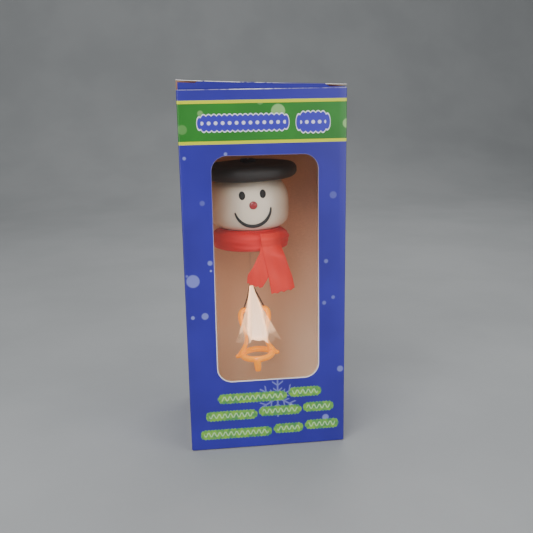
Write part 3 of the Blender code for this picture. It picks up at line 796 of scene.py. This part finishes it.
# ---------------------------------------------------------------- carton
@dataclass
class Carton:
    """The printed carton: sleeve, film, two lids and their tuck flaps."""

    board: float = 0.5 * MM
    corner: float = 0.7 * MM
    bulge: float = 0.35 * MM
    slit: float = 10.3 * MM
    slit_drop: float = 0.9 * MM
    flap_corner: float = 5 * MM
    lift_left: float = 1.0 * MM
    lift_right: float = -2.1 * MM
    film: float = 0.12 * MM
    film_wave: float = 0.10 * MM
    film_overlap: float = 6.5 * MM
    window_corner: float = 7.3 * MM
    card: tuple[Finish, ...] = (Finish.CARD, Finish.BOARD, Finish.EDGE)

    def __post_init__(self) -> None:
        """Reads the carton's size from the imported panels."""
        low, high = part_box("front_panel")
        self.half_width = high[0]
        self.half_depth = -low[1]
        self.bottom = low[2]
        self.top = high[2]
        self.side_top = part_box("left_panel")[1][2]

    def build(self) -> None:
        """Makes every piece of the carton."""
        self.sleeve()
        self.window_film()
        self.lid("top_lid", 1)
        self.lid("bottom_lid", -1)
        self.tuck_flap("top_tuck_flap", "top_tuck", 1)
        self.tuck_flap("bottom_tuck_flap", "bottom_tuck", -1)

    def window_cutter(self) -> bpy.types.Object:
        """A block with rounded corners, the shape of the window."""
        inner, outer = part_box("window_film")
        overlap, reach = self.film_overlap, 2 * MM
        low = Vector((inner[0] + overlap, -self.half_depth - reach, inner[2] + overlap))
        high = Vector((outer[0] - overlap, -self.half_depth + reach, outer[2] - overlap))
        cutter = block("window_cutter", low, high)
        with editing(cutter):
            pick(cutter, "EDGE", lambda edge: along(edge, 1) > 0.9)
            bpy.ops.mesh.bevel(offset=self.window_corner, segments=12)
        for face in cutter.data.polygons:
            face.material_index = 2
        wear(cutter, self.card)
        return cutter

    def sleeve(self) -> None:
        """The four panels as one folded board with rounded creases and a cut window."""
        low = self.bottom - 0.25 * MM
        size = (2 * self.half_width, 2 * self.half_depth, self.top - low)
        piece = primitive("cube", "carton_sleeve", size=1.0, location=(0, 0, (self.top + low) / 2),
                          scale=size)
        with editing(piece):
            pick(piece, "FACE", lambda face: abs(face.normal.z) > 0.9)
            bpy.ops.mesh.delete(type="FACE")
            pick(piece, "EDGE", lambda edge: along(edge, 2) > 0.9)
            bpy.ops.mesh.bevel(offset=self.corner, segments=3)
            pick(piece, "EDGE", lambda edge: along(edge, 2) < 0.1 and edge.calc_length() > 10 * MM)
            bpy.ops.mesh.subdivide(number_cuts=23)
            pick(piece, "EDGE", lambda edge: along(edge, 2) > 0.9)
            bpy.ops.mesh.subdivide(number_cuts=29)

        def settle(point: Vector) -> Vector:
            """Bows the panels a little and lowers the side panels' top edges."""
            across = 1 - (point.x / self.half_width) ** 2
            along = 1 - (point.y / self.half_depth) ** 2
            up = math.sin(math.pi * (point.z - low) / (self.top - low))
            if abs(point.y) > self.half_depth - 0.01 * MM:
                point.y += math.copysign(self.bulge * across * (0.35 + 0.65 * up) * 0.6, point.y)
            if abs(point.x) > self.half_width - 0.01 * MM:
                point.x -= math.copysign(self.bulge * along * up, point.x)
            if abs(point.y) < self.half_depth - 1.0 * MM:
                point.z = min(point.z, self.side_top)
            return point

        shape(piece, settle)
        wear(piece, self.card)
        modify(piece, "SOLIDIFY", thickness=self.board, offset=-1.0, use_even_offset=True,
               material_offset=1, material_offset_rim=2)
        carve(piece, self.window_cutter())
        finish(piece, "carton", self.card,
               ("front_panel", "back_panel", "left_panel", "right_panel"), 35.0)

    def window_film(self) -> None:
        """The film behind the window, with the slight waves of a glued sheet."""
        low, high = corners("window_film")
        middle = (low + high) / 2
        piece = primitive("grid", "film_sheet", x_subdivisions=36, y_subdivisions=64, size=1.0)

        def hang(point: Vector) -> Vector:
            """Stands the sheet up behind the front panel."""
            x = middle.x + point.x * (high.x - low.x)
            z = middle.z + point.y * (high.z - low.z)
            wave = math.sin(x * 95 + 2.0 * math.sin(z * 31)) * math.sin(z * 58 + 0.7)
            wave += math.sin(z * 23 - x * 40)
            edge = (1 - (2 * point.x) ** 4) * (1 - (2 * point.y) ** 4)
            return Vector((x, middle.y + self.film_wave * wave * edge * 0.6 + 0.08 * MM, z))

        shape(piece, hang)
        modify(piece, "SOLIDIFY", thickness=self.film, offset=0.0)
        face_out(piece)
        finish(piece, "carton", (Finish.FILM,), ("window_film",), 80.0)

    def lift(self, across: float, share: float) -> float:
        """How far the open top lid is lifted or pressed down by its warp.

        Args:
            across: place across the lid.
            share: 0 at the rear fold, 1 at the front fold.

        Returns:
            The height to add.
        """
        right = (across / self.half_width + 1) / 2
        return (self.lift_left + (self.lift_right - self.lift_left) * right ** 0.8) * ease(share)

    def lid(self, node: str, end: int) -> None:
        """A lid panel: printed outside, plain inside, with bare ends where its lock is slit.

        Args:
            node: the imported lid, which is also the body's name.
            end: 1 for the top, -1 for the bottom.
        """
        low, high = corners(node)
        rise = high.z - low.z - self.board
        piece = board_blank(node + "_card", 30)

        def lay(point: Vector) -> Vector:
            """Puts the panel on its fold line and warps it."""
            share = 0.5 - point.y
            x = point.x * (high.x - low.x)
            y = high.y - (high.y - low.y) * share
            z = low.z + rise * share + (point.z + 0.5) * self.board
            if end > 0:
                z += self.lift(x, share) + 0.25 * MM * math.sin(math.pi * share) * (1 - (2 * point.x) ** 2)
            return Vector((x, y, z))

        shape(piece, lay)
        for face in piece.data.polygons:
            centre, normal = face.center, face.normal
            folded = abs(centre.x) < self.half_width - self.slit
            if abs(normal.z) > 0.7:
                face.material_index = 0 if normal.z * end > 0 else 1
            else:
                # Front faces along the fold: worn print with a painted highlight.
                face.material_index = 3 if folded and abs(normal.y) > 0.7 else 2
        with editing(piece):
            pick(piece, "EDGE", lambda edge: edge.calc_face_angle(0.0) > 0.9)
            bpy.ops.mesh.bevel(offset=0.12 * MM, segments=2)
        finish(piece, node, (*self.card, Finish.FOLD), (node,), 50.0)

    def tuck_flap(self, node: str, body: str, end: int) -> None:
        """The flap behind the front panel, with dropped shoulders under the slit lock.

        Args:
            node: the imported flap.
            body: the body that it moves with.
            end: 1 for the top, -1 for the bottom.
        """
        low, high = corners(node)
        fold = high.z if end > 0 else low.z
        tip = low.z if end > 0 else high.z
        lean = high.y - low.y - self.board
        half = self.half_width - 0.75 * MM
        piece = board_blank(node + "_card", 40)

        def stand(point: Vector) -> Vector:
            """Puts the flap under its fold, rounds its tip's corners and lifts it with the lid."""
            share = 0.5 - point.z
            x = 2 * point.x * half
            shoulder = ease((abs(x) - (self.half_width - self.slit)) / (0.6 * MM))
            start = fold + end * (0.35 * MM - self.slit_drop * shoulder)
            corner = max(0.0, abs(x) - (half - self.flap_corner)) / self.flap_corner
            end_z = tip + end * self.flap_corner * (1 - math.sqrt(max(0.0, 1 - corner ** 2)))
            z = start + (end_z - start) * share
            lift = self.lift(x, 1.0) if end > 0 else 0.0
            y = low.y + lean * share + (point.y + 0.5) * self.board
            return Vector((x, y, z + lift))

        shape(piece, stand)
        for face in piece.data.polygons:
            if abs(face.normal.y) > 0.7:
                face.material_index = 0 if face.normal.y < 0 else 1
            else:
                face.material_index = 2
        if end < 0:
            face_out(piece)
        finish(piece, body, self.card, (node,), 50.0)


# ---------------------------------------------------------------- light
@dataclass
class Head:
    """The frosted bulb with its face."""

    radius: float = 21.0 * MM
    above: float = 17.0 * MM
    below: float = 13.1 * MM
    power: float = 2.4
    power_below: float = 4.5
    wall: float = 1.2 * MM
    neck_radius: float = 11.3 * MM
    # Half width, half height and depth of the painted parts.
    eye_size: Vector = Vector((1.6 * MM, 2.1 * MM, 0.45 * MM))
    nose_size: Vector = Vector((2.05 * MM, 2.05 * MM, 1.1 * MM))
    eye_spacing: float = 10.5 * MM
    eye_height: float = 6.6 * MM
    nose_height: float = 1.5 * MM
    smile_radius: float = 9.2 * MM
    smile_start: float = math.radians(194)
    smile_end: float = math.radians(360)

    def __post_init__(self) -> None:
        """Finds the head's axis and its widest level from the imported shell."""
        low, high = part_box("head_bulb")
        self.centre = Vector(((low[0] + high[0]) / 2, (low[1] + high[1]) / 2, high[2] - HEAD_TOP))
        self.neck_bottom = low[2]

    def radius_at(self, height: float) -> float:
        """The outer radius at a height from the widest level."""
        reach, power = (self.above, self.power) if height > 0 else (self.below, self.power_below)
        return self.radius * (1 - min(1.0, abs(height) / reach) ** power) ** (1 / power)

    def on_surface(self, across: float, height: float, off: float = 0.0) -> tuple[Vector, Vector]:
        """A place in front of the head, and the direction straight out of it.

        Args:
            across: distance from the axis, to the right.
            height: height from the widest level.
            off: how far outside the surface.

        Returns:
            The place in the object's frame, and the outward direction.
        """
        radius = self.radius_at(height)
        deep = -math.sqrt(radius ** 2 - across ** 2)
        nudge = 0.01 * MM
        slope = (self.radius_at(height + nudge) - self.radius_at(height - nudge)) / (2 * nudge)
        outward = Vector((across / radius, deep / radius, -slope)).normalized()
        return self.centre + Vector((across, deep, height)) + outward * off, outward

    def build(self) -> None:
        """Makes the shell, the eyes, the nose and the smile."""
        self.shell()
        self.eye("eye_left", -1)
        self.eye("eye_right", 1)
        self.nose()
        self.smile()

    def shell(self) -> None:
        """The squashed bulb: a sphere reshaped, opened at the top and drawn out to a neck."""
        piece = primitive("uv_sphere", "bulb_shell", segments=96, ring_count=64, radius=1.0)

        def squash(point: Vector) -> Vector:
            """Turns the unit sphere into the bulb."""
            height = point.z * (self.above if point.z > 0 else self.below)
            flat = math.hypot(point.x, point.y)
            scale = self.radius_at(height) / flat if flat > 1e-6 else 0.0
            return Vector((point.x * scale, point.y * scale, height)) + self.centre

        shape(piece, squash)
        neck_level = self.centre.z - self.below * 0.985
        top_level = self.centre.z + HEAD_TOP
        with editing(piece):
            bpy.ops.mesh.select_all(action="SELECT")
            bpy.ops.mesh.bisect(plane_co=(0, 0, top_level), plane_no=(0, 0, 1), clear_outer=True)
            bpy.ops.mesh.select_all(action="SELECT")
            bpy.ops.mesh.bisect(plane_co=(0, 0, neck_level), plane_no=(0, 0, -1), clear_outer=True)
            for level, width in ((neck_level - 0.15 * MM, 1.02), (neck_level - 0.6 * MM, 1.0),
                                 (self.neck_bottom, 1.0)):
                self.draw_neck(piece, level, width)
        modify(piece, "SOLIDIFY", thickness=self.wall, offset=-1.0)
        finish(piece, "light", (Finish.SHELL,), ("head_bulb",), 50.0)

    def draw_neck(self, piece: bpy.types.Object, level: float, width: float) -> None:
        """Extrudes the lowest open edge down to a level and pulls it to the neck's radius."""
        mesh = bmesh.from_edit_mesh(piece.data)
        lowest = min(vertex.co.z for vertex in mesh.verts)
        pick(piece, "EDGE", lambda edge: all(vertex.co.z < lowest + 0.01 * MM for vertex in edge.verts))
        bpy.ops.mesh.extrude_edges_move(TRANSFORM_OT_translate={"value": (0, 0, level - lowest)})
        mesh = bmesh.from_edit_mesh(piece.data)
        for vertex in mesh.verts:
            if vertex.co.z < level + 0.01 * MM:
                flat = Vector((vertex.co.x - self.centre.x, vertex.co.y - self.centre.y))
                flat *= self.neck_radius * width / flat.length
                vertex.co.x, vertex.co.y = self.centre.x + flat.x, self.centre.y + flat.y
        bmesh.update_edit_mesh(piece.data)

    def button(self, name: str, across: float, height: float, size: Vector) -> bpy.types.Object:
        """A low domed spot that lies on the head's curve.

        Args:
            name: the piece's name.
            across: place from the axis.
            height: height from the widest level.
            size: half width, half height and depth.

        Returns:
            The spot.
        """
        piece = primitive("uv_sphere", name, segments=32, ring_count=16, radius=1.0)

        def wrap(point: Vector) -> Vector:
            """Lays the flattened ball on the surface."""
            place, outward = self.on_surface(across + point.x * size.x, height + point.z * size.y)
            return place - outward * point.y * size.z

        shape(piece, wrap)
        return piece

    def eye(self, node: str, side: int) -> None:
        """A dark oval eye."""
        height = self.eye_height + side * 0.3 * MM
        piece = self.button(node + "_spot", side * self.eye_spacing / 2, height, self.eye_size)
        finish(piece, "light", (Finish.INK,), (node,))

    def nose(self) -> None:
        """A small red button."""
        piece = self.button("nose_button", 0.2 * MM, self.nose_height, self.nose_size)
        finish(piece, "light", (Finish.NOSE,), ("nose",))

    def smile(self) -> None:
        """A stroke that follows the head, thick in the middle and thin at its ends."""
        count = 25
        route, radii = [], []
        for step in range(count):
            share = step / (count - 1)
            turn = self.smile_start + (self.smile_end - self.smile_start) * share
            across, height = self.smile_radius * math.cos(turn), self.smile_radius * math.sin(turn)
            route.append(self.on_surface(across, height, 0.12 * MM)[0])
            radii.append((0.34 + 0.58 * math.sin(math.pi * share) ** 0.7) * MM)
        finish(cable("smile_stroke", route, radii), "light", (Finish.INK,), ("smile",))


@dataclass
class Hat:
    """The thick round hat with its low crown."""

    edge: float = 3.3 * MM
    brim_rise: float = 1.0 * MM
    tilt: float = math.radians(1.6)
    cord_bore: float = 3.2 * MM
    button_bore: float = 3.35 * MM
    button_sink: float = 4.1 * MM
    socket_room: float = 0.35 * MM
    # How far each step of the dished top goes in, and how far it rises.
    crown_steps: tuple[tuple[float, float], ...] = ((3.5 * MM, 0.35 * MM), (1.2 * MM, 0.3 * MM),
                                                    (6 * MM, 0.15 * MM))

    def build(self) -> None:
        """Makes the hat from a disc: rounded rim, domed top, and openings for what sits in it."""
        low, high = corners("hat")
        centre = (low + high) / 2
        radius = (high.x - low.x) / 2
        rim_top = high.z - 1.8 * MM + self.brim_rise
        piece = primitive("cylinder", "hat_body", vertices=128, radius=radius, depth=rim_top - low.z,
                          location=(centre.x, 0, (rim_top + low.z) / 2))
        with editing(piece):
            pick(piece, "EDGE", lambda edge: along(edge, 2) < 0.1 and len(edge.link_faces) == 2)
            bpy.ops.mesh.bevel(offset=self.edge, segments=8)
            pick(piece, "FACE", lambda face: face.normal.z > 0.99 and face.calc_area() > 100 * MM * MM)
            for inset, rise in self.crown_steps:
                bpy.ops.mesh.inset(thickness=inset)
                bpy.ops.transform.translate(value=(0, 0, rise))
        openings = [primitive("cylinder", "cord_bore", vertices=48, radius=self.cord_bore, depth=30 * MM,
                              location=(centre.x, 0, centre.z))]
        button = middle_of("power_button")
        deep = 8 * MM
        centre_z = high.z - self.button_sink + deep / 2
        openings.append(primitive("cylinder", "button_bore", vertices=48, radius=self.button_bore,
                                  depth=deep, location=(button.x, button.y, centre_z)))
        socket_low, socket_high = corners("usb_socket")
        room = Vector((self.socket_room,) * 3)
        pocket_low, pocket_high = socket_low - room, socket_high + room + Vector((0, 6 * MM, 0))
        openings.append(block("socket_pocket", pocket_low, pocket_high))
        for cutter in openings:
            carve(piece, cutter)
        turn = Matrix.Translation(centre) @ Matrix.Rotation(-self.tilt, 4, "Y") @ Matrix.Translation(-centre)
        piece.data.transform(turn)
        finish(piece, "light", (Finish.HAT,), ("hat",), 30.0)


@dataclass
class Scarf:
    """The soft moulded scarf: ring, lapped end and two tails."""

    centre_radius: float = 16.0 * MM
    half_width: float = 4.1 * MM
    half_height: float = 5.1 * MM
    collar_rise: float = 0.9 * MM
    lap_middle: float = -32.0
    lap_half: float = 29.0
    lap_thickness: float = 1.3 * MM
    tail_thickness: float = 1.5 * MM

    def __post_init__(self) -> None:
        """Finds the ring's axis and level, and the head's widest level."""
        self.centre = middle_of("scarf_ring")
        self.head_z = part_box("head_bulb")[1][2] - HEAD_TOP

    def build(self) -> None:
        """Makes the ring, the lap and the tails."""
        self.ring()
        self.lap()
        for node, rows in (("scarf_tail_left", self.left_rows()), ("scarf_tail_right", self.right_rows())):
            self.tail(node, rows)

    def outer_radius(self, turn: float, height: float) -> float:
        """The ring's outside at an angle and a height from its middle, pleats included."""
        share = min(1.0, abs(height) / self.half_height)
        round_off = (1 - share ** 2.6) ** (1 / 2.6)
        pleat = 0.26 * math.sin(height / MM * 1.15 + 1.4 * math.sin(turn * 2 + 0.6))
        pleat += 0.16 * math.sin(height / MM * 2.3 + 2.2 * math.sin(turn * 3))
        return self.centre_radius + self.half_width * round_off + pleat * MM * round_off

    def place(self, turn: float, radius: float, height: float) -> Vector:
        """A place round the neck; the band dips a little towards its sides and rear."""
        dip = (-0.5 - 0.5 * math.sin(turn)) * MM
        return self.centre + Vector((radius * math.cos(turn), radius * math.sin(turn), height + dip))

    def ring(self) -> None:
        """A band round the neck with shallow lengthwise pleats."""
        piece = primitive("torus", "scarf_band", major_segments=144, minor_segments=40, major_radius=1.0,
                          minor_radius=0.25)

        def drape(point: Vector) -> Vector:
            """Turns the torus into the band."""
            turn = math.atan2(point.y, point.x)
            side = (math.hypot(point.x, point.y) - 1.0) / 0.25
            level = point.z / 0.25
            height = level * self.half_height + max(0.0, level) ** 3 * self.collar_rise
            if side > 0:
                reach = self.outer_radius(turn, height)
                radius = self.centre_radius + (reach - self.centre_radius) * min(1.0, side * 1.6)
            else:
                radius = self.centre_radius + side * self.half_width * 0.95
            return self.place(turn, radius, height)

        shape(piece, drape)
        soften(piece)
        finish(piece, "light", (Finish.SCARF,), ("scarf_ring",), 60.0)

    def lap(self) -> None:
        """The scarf's end where it laps over the ring on the right."""
        piece = primitive("grid", "scarf_lap", x_subdivisions=30, y_subdivisions=22, size=2.0)

        def lie(point: Vector) -> Vector:
            """Bends the sheet round the ring, fuller in its middle."""
            turn = math.radians(self.lap_middle + self.lap_half * point.x)
            height = point.y * self.half_height * 0.98 * (1 - 0.62 * abs(point.x) ** 3.5)
            swell = 0.2 + 0.8 * (1 - point.x ** 4) * (1 - 0.35 * point.y ** 2)
            return self.place(turn, self.outer_radius(turn, height) + swell * MM, height)

        shape(piece, lie)
        modify(piece, "SOLIDIFY", thickness=self.lap_thickness, offset=-1.0)
        soften(piece)
        face_out(piece)
        finish(piece, "light", (Finish.SCARF,), ("scarf_wrap",), 60.0)

    @staticmethod
    def left_rows() -> list[tuple[float, float, float, float]]:
        """Left tail's edges from the head's middle, top to tip: left x and z, right x and z, in mm."""
        return [(3.6, -14.0, 9.0, -14.0), (3.7, -19.5, 9.4, -19.5), (2.9, -23.7, 9.0, -25.0),
                (0.4, -28.4, 8.0, -31.0), (-3.3, -34.4, 6.9, -36.0), (-3.9, -38.8, 3.9, -41.6)]

    @staticmethod
    def right_rows() -> list[tuple[float, float, float, float]]:
        """Right tail's edges, top to tip, in millimetres."""
        return [(3.4, -13.6, 13.6, -13.6), (3.8, -19.0, 13.9, -19.0), (4.8, -24.5, 15.4, -24.0),
                (6.1, -30.5, 17.4, -30.0), (7.3, -36.5, 19.5, -36.0), (8.6, -44.7, 20.7, -42.4)]

    def tail(self, node: str, rows: list[tuple[float, float, float, float]]) -> None:
        """A tail that comes off the ring and hangs, with small scallops at its tip.

        Args:
            node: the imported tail.
            rows: its edges from top to tip.
        """
        front = node.endswith("right")
        piece = primitive("grid", node + "_strip", x_subdivisions=28, y_subdivisions=40, size=1.0)

        def hang(point: Vector) -> Vector:
            """Maps the grid between the tail's edges."""
            share = (0.5 - point.y) * (len(rows) - 1)
            index = min(int(share), len(rows) - 2)
            before, after = rows[index], rows[index + 1]
            left_x, left_z, right_x, right_z = (a + (b - a) * (share - index) for a, b in zip(before, after))
            side = point.x + 0.5
            across, height = left_x + (right_x - left_x) * side, left_z + (right_z - left_z) * side
            tip = max(0.0, (share - (len(rows) - 1.35)) / 0.35)
            height += tip * (0.75 * abs(math.sin(side * math.pi * 3.5 + 0.4)) - 0.4)
            below_ring = (self.centre.z - self.head_z) / MM - height
            ring_radius = self.outer_radius(-math.pi / 2, -min(max(below_ring, -4.4), 2.0) * MM) / MM
            against = math.sqrt(ring_radius ** 2 - min(abs(across), 14.5) ** 2) + 0.75
            free = 20.6 + 0.02 * below_ring + 0.3 * math.sin(height * 0.35 + across * 0.3)
            deep = against + (free - against) * ease((below_ring - 1.0) / 6.0)
            fold = 0.3 * math.sin(across / (right_x - left_x) * 9 + height * 0.12) * ease(below_ring / 8)
            deep += 0.45 * (1 - (2 * point.x) ** 2) + fold + (0.6 if front else 0.0)
            return Vector((self.centre.x + across * MM, -deep * MM, self.head_z + height * MM))

        shape(piece, hang)
        modify(piece, "SOLIDIFY", thickness=self.tail_thickness, offset=0.0)
        face_out(piece)
        modify(piece, "BEVEL", width=0.45 * MM, segments=2, limit_method="ANGLE",
               angle_limit=math.radians(50))
        soften(piece)
        finish(piece, "light", (Finish.TAIL,), (node,), 60.0)


# ---------------------------------------------------------------- pendant
@dataclass
class Pendant:
    """What hangs on the cord: knot, strands, amber frame and frosted drop."""

    middle: float = 0.8
    lean: float = math.radians(3.1)
    rail_y: float = 2.8
    ring_radius: float = 8.1
    ring_tube: float = 1.8
    ring_level: float = -44.7
    cord_radius: float = 0.28
    strand_radius: float = 0.42
    knot_radius: float = 1.35
    stub_y: float = -5.5

    def __post_init__(self) -> None:
        """Finds the pivot at the cord's lower end."""
        self.pivot = Vector((middle_of("light_cord").x, 0.0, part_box("light_cord")[0][2]))
        self.turn = Matrix.Rotation(-self.lean, 3, "Y")

    def at(self, across: float, along: float, height: float) -> Vector:
        """A place in millimetres from the pivot, on the leaning pendant."""
        return self.pivot + self.turn @ (Vector((across, along, height)) * MM)

    def bar(self, name: str, worn: Finish, node: str, points: Sequence[tuple[float, float, float]],
            radii: Sequence[float], sides: int = 4) -> None:
        """A round bar of the pendant.

        Args:
            name: the piece's name.
            worn: its finish.
            node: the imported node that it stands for.
            points: its route from the pivot, in millimetres.
            radii: its radius at each point, in millimetres.
            sides: the bevel's resolution.
        """
        piece = cable(name, [self.at(*point) for point in points], [radius * MM for radius in radii], sides)
        finish(piece, "pendant", (worn,), (node,), 60.0)

    def build(self) -> None:
        """Makes every piece of the pendant."""
        self.cords()
        for word, side in (("left", -1), ("right", 1)):
            self.rail(word, side)
        self.ring()
        self.drop()

    def cords(self) -> None:
        """The cord through the light, its knot, and the two strands."""
        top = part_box("light_cord")[1][2]
        steps = 20
        rise = (top - self.pivot.z) / steps
        line = [self.pivot + Vector((0, 0, rise * step)) for step in range(steps + 1)]
        piece = cable("main_cord", line, [self.cord_radius * MM] * len(line), 3)
        finish(piece, "carton", (Finish.LINE,), ("light_cord",))
        knot = primitive("ico_sphere", "cord_knot", subdivisions=4, radius=1.0)

        def tie(point: Vector) -> Vector:
            """Gives the ball the twisted lobes of an overhand knot."""
            lobe = self.knot_radius * (1 + 0.16 * math.sin(3 * math.atan2(point.y, point.x) + 5 * point.z))
            return self.at(point.x * lobe, point.y * lobe, -1.6 + point.z * 1.3)

        shape(knot, tie)
        finish(knot, "pendant", (Finish.CORD,), ("pendant_bead",))
        for word, side in (("left", -1), ("right", 1)):
            points = ((side * 0.4, 0.2, -2.4), (side * 1.7 + 0.3, 1.0, -7.0),
                      (side * 3.4 + 0.7, 1.9, -11.8), (side * 5.5 + 0.8, 2.8, -17.2))
            self.bar("strand_" + word, Finish.CORD, "pendant_strand_" + word, points,
                     [self.strand_radius] * len(points), 3)

    def rail(self, word: str, side: int) -> None:
        """One side of the amber frame: an arched shoulder, a waist and a flared foot, and its peg."""
        points = ((2.9, -21.3), (3.5, -19.3), (5.4, -18.3), (7.2, -19.6), (7.8, -22.8), (7.1, -27.0),
                  (5.7, -32.0), (5.5, -35.6), (6.6, -39.3), (8.6, -42.8), (10.3, -44.9))
        route = [(self.middle + side * across, self.rail_y, height) for across, height in points]
        radii = (0.8, 1.2, 1.4, 1.45, 1.4, 1.25, 1.05, 1.05, 1.2, 1.45, 1.35)
        self.bar("amber_side_" + word, Finish.AMBER, "pendant_rail_" + word, route, radii, 5)
        peg = [(self.middle + side * across, self.rail_y, height) for across, height in
               ((9.2, -44.3), (10.7, -44.8), (12.2, -45.1))]
        self.bar("amber_peg_" + word, Finish.AMBER, "pendant_peg_" + word, peg, (1.4, 1.25, 0.85))

    def ring(self) -> None:
        """The foot ring, an oval with a flat upper face, and the stub under its front."""
        piece = primitive("torus", "amber_foot", major_segments=72, minor_segments=20,
                          major_radius=self.ring_radius, minor_radius=self.ring_tube)

        def lay(point: Vector) -> Vector:
            """Sets the ring under the frame."""
            return self.at(self.middle + point.x, self.rail_y + point.y,
                           self.ring_level + point.z * (0.8 if point.z > 0 else 1.0))

        shape(piece, lay)
        finish(piece, "pendant", (Finish.AMBER,), ("pendant_ring",), 60.0)
        stub = [(self.middle - 1.0, self.stub_y, height) for height in (-45.0, -47.2, -49.4, -51.4)]
        self.bar("amber_stub", Finish.AMBER, "pendant_stub", stub, (2.1, 2.0, 1.9, 1.5), 5)

    def drop(self) -> None:
        """The frosted drop in front of the frame, pleated and ragged at its foot."""
        piece = primitive("cone", "frosted_skirt", vertices=96, radius1=1.0, radius2=0.16, depth=1.0,
                          end_fill_type="NOTHING")
        with editing(piece):
            pick(piece, "EDGE", lambda edge: abs(edge.verts[0].co.z - edge.verts[1].co.z) > 0.5)
            bpy.ops.mesh.subdivide(number_cuts=40)

        def drape(point: Vector) -> Vector:
            """Pleats the cone and flattens it front to back."""
            share = 0.5 - point.z
            turn = math.atan2(point.y, point.x)
            flare = 0.9 + 10.5 * share ** 1.35
            pleat = 1 + 0.10 * share * math.sin(7 * turn + 1.0) + 0.05 * math.sin(13 * turn)
            ragged = 1.3 * math.sin(5 * turn + 0.5) + 0.7 * math.sin(11 * turn)
            height = -4.0 - 29.0 * share - ragged * ease((share - 0.7) / 0.3)
            return self.at(self.middle * share + flare * pleat * math.cos(turn),
                           -4.4 * share - 0.8 + flare * pleat * 0.40 * math.sin(turn), height)

        shape(piece, drape)
        modify(piece, "SOLIDIFY", thickness=0.25 * MM, offset=0.0)
        finish(piece, "pendant", (Finish.DROP,), ("pendant_cone",), 80.0)


# ---------------------------------------------------------------- small parts and stage
class KeptParts:
    """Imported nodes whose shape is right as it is: each gets its finish."""

    WORN: dict[Finish, tuple[str, ...]] = {
        Finish.BOARD: ("seam_flap", "hanger_bridge", "hanger_leg_left", "hanger_leg_right",
                       "top_dust_flap_left", "top_dust_flap_right",
                       "bottom_dust_flap_left", "bottom_dust_flap_right"),
        Finish.CORD: ("cord_stop",),
        Finish.RUBBER: ("cord_grommet", "usb_cover"),
        Finish.WHITE: ("power_button", "twist_collar", "guide_tube", "base_cap"),
        Finish.STEEL: ("usb_socket", "base_screw_left", "base_screw_right"),
        Finish.HAT: ("usb_tongue",),
        Finish.CIRCUIT: ("led_board",),
        Finish.PHOSPHOR: ("led_1", "led_2", "led_3"),
        Finish.FOIL: ("battery_cell",),
    }

    def build(self) -> None:
        """Gives every kept node its material."""
        for worn, nodes in self.WORN.items():
            for node in nodes:
                wear(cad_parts[node], (worn,))
                LOG.info("%s wears %s", node, worn.value.name)


@dataclass
class Studio:
    """Pale floor and backdrop, soft lights and the camera."""

    place: Vector = Vector((-0.04035, -0.37414, 0.18020))
    turn: float = 0.11937
    down: float = 0.23980
    roll: float = -0.01681
    lens: float = 48.3

    def build(self) -> None:
        """Sets the stage."""
        self.floor()
        self.light("key", (-0.35, -0.65, 0.75), 0.6, 7.0)
        self.light("low_left", (-0.62, -0.50, 0.16), 0.25, 1.6)
        self.light("low_right", (0.66, -0.50, 0.16), 0.25, 1.2)
        self.light("fill", (0.50, -0.75, 0.35), 0.7, 3.5)
        self.light("overhead", (0.0, 0.10, 0.95), 0.9, 5.0)
        self.light("rear", (0.25, 0.75, 0.60), 0.6, 1.5)
        world = bpy.data.worlds.new("studio_air")
        world.use_nodes = True
        world.node_tree.nodes["Background"].inputs["Color"].default_value = (0.78, 0.80, 0.83, 1.0)
        world.node_tree.nodes["Background"].inputs["Strength"].default_value = 0.20
        bpy.context.scene.world = world
        self.camera()

    def floor(self) -> None:
        """A sheet that curves up into a backdrop."""
        piece = primitive("grid", "studio_floor", x_subdivisions=2, y_subdivisions=60, size=1.0)

        def curve(point: Vector) -> Vector:
            """Lays the sheet flat, then bends it upwards behind the carton."""
            along = (point.y + 0.5) * 5.5 - 2.2
            start, radius = 0.75, 0.5
            arc = radius * math.pi / 2
            if along < start:
                return Vector((point.x * 6, along, 0.0))
            bend = min(along - start, arc) / radius
            rest = max(0.0, along - start - arc)
            height = radius * (1 - math.cos(bend)) + rest
            return Vector((point.x * 6, start + radius * math.sin(bend), height))

        shape(piece, curve)
        wear(piece, (Finish.FLOOR,))
        hold(piece)
        bpy.ops.object.shade_smooth_by_angle(angle=math.radians(60))

    @staticmethod
    def light(name: str, place: tuple[float, float, float], size: float, power: float) -> None:
        """One soft square lamp that looks at the carton."""
        data = bpy.data.lights.new(name, "AREA")
        data.size = size
        data.energy = power
        lamp = bpy.data.objects.new(name, data)
        lamp.location = place
        aim = Vector((0.0, 0.0, 0.09)) - Vector(place)
        lamp.rotation_euler = aim.to_track_quat("-Z", "Y").to_euler()
        bpy.context.scene.collection.objects.link(lamp)

    def camera(self) -> None:
        """The camera, a little above the carton and to its left."""
        ahead = Vector((math.sin(self.turn) * math.cos(self.down), math.cos(self.turn) * math.cos(self.down),
                        -math.sin(self.down)))
        right = Vector((math.cos(self.turn), -math.sin(self.turn), 0.0))
        up = right.cross(ahead)
        across = right * math.cos(self.roll) + up * math.sin(self.roll)
        upward = up * math.cos(self.roll) - right * math.sin(self.roll)
        data = bpy.data.cameras.new("camera")
        data.lens = self.lens
        data.sensor_width = 36.0
        thing = bpy.data.objects.new("camera", data)
        turned = Matrix((across, upward, -ahead)).transposed().to_4x4()
        thing.matrix_world = Matrix.Translation(self.place) @ turned
        bpy.context.scene.collection.objects.link(thing)
        bpy.context.scene.camera = thing


def main() -> None:
    """Builds the looks in order."""
    logging.basicConfig(level=logging.INFO, format="%(message)s")
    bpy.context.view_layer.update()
    for maker in (Carton(), Head(), Hat(), Scarf(), Pendant(), KeptParts(), Studio()):
        LOG.info("-- %s", type(maker).__name__)
        maker.build()
    deselect()


if __name__ == "__main__":
    main()
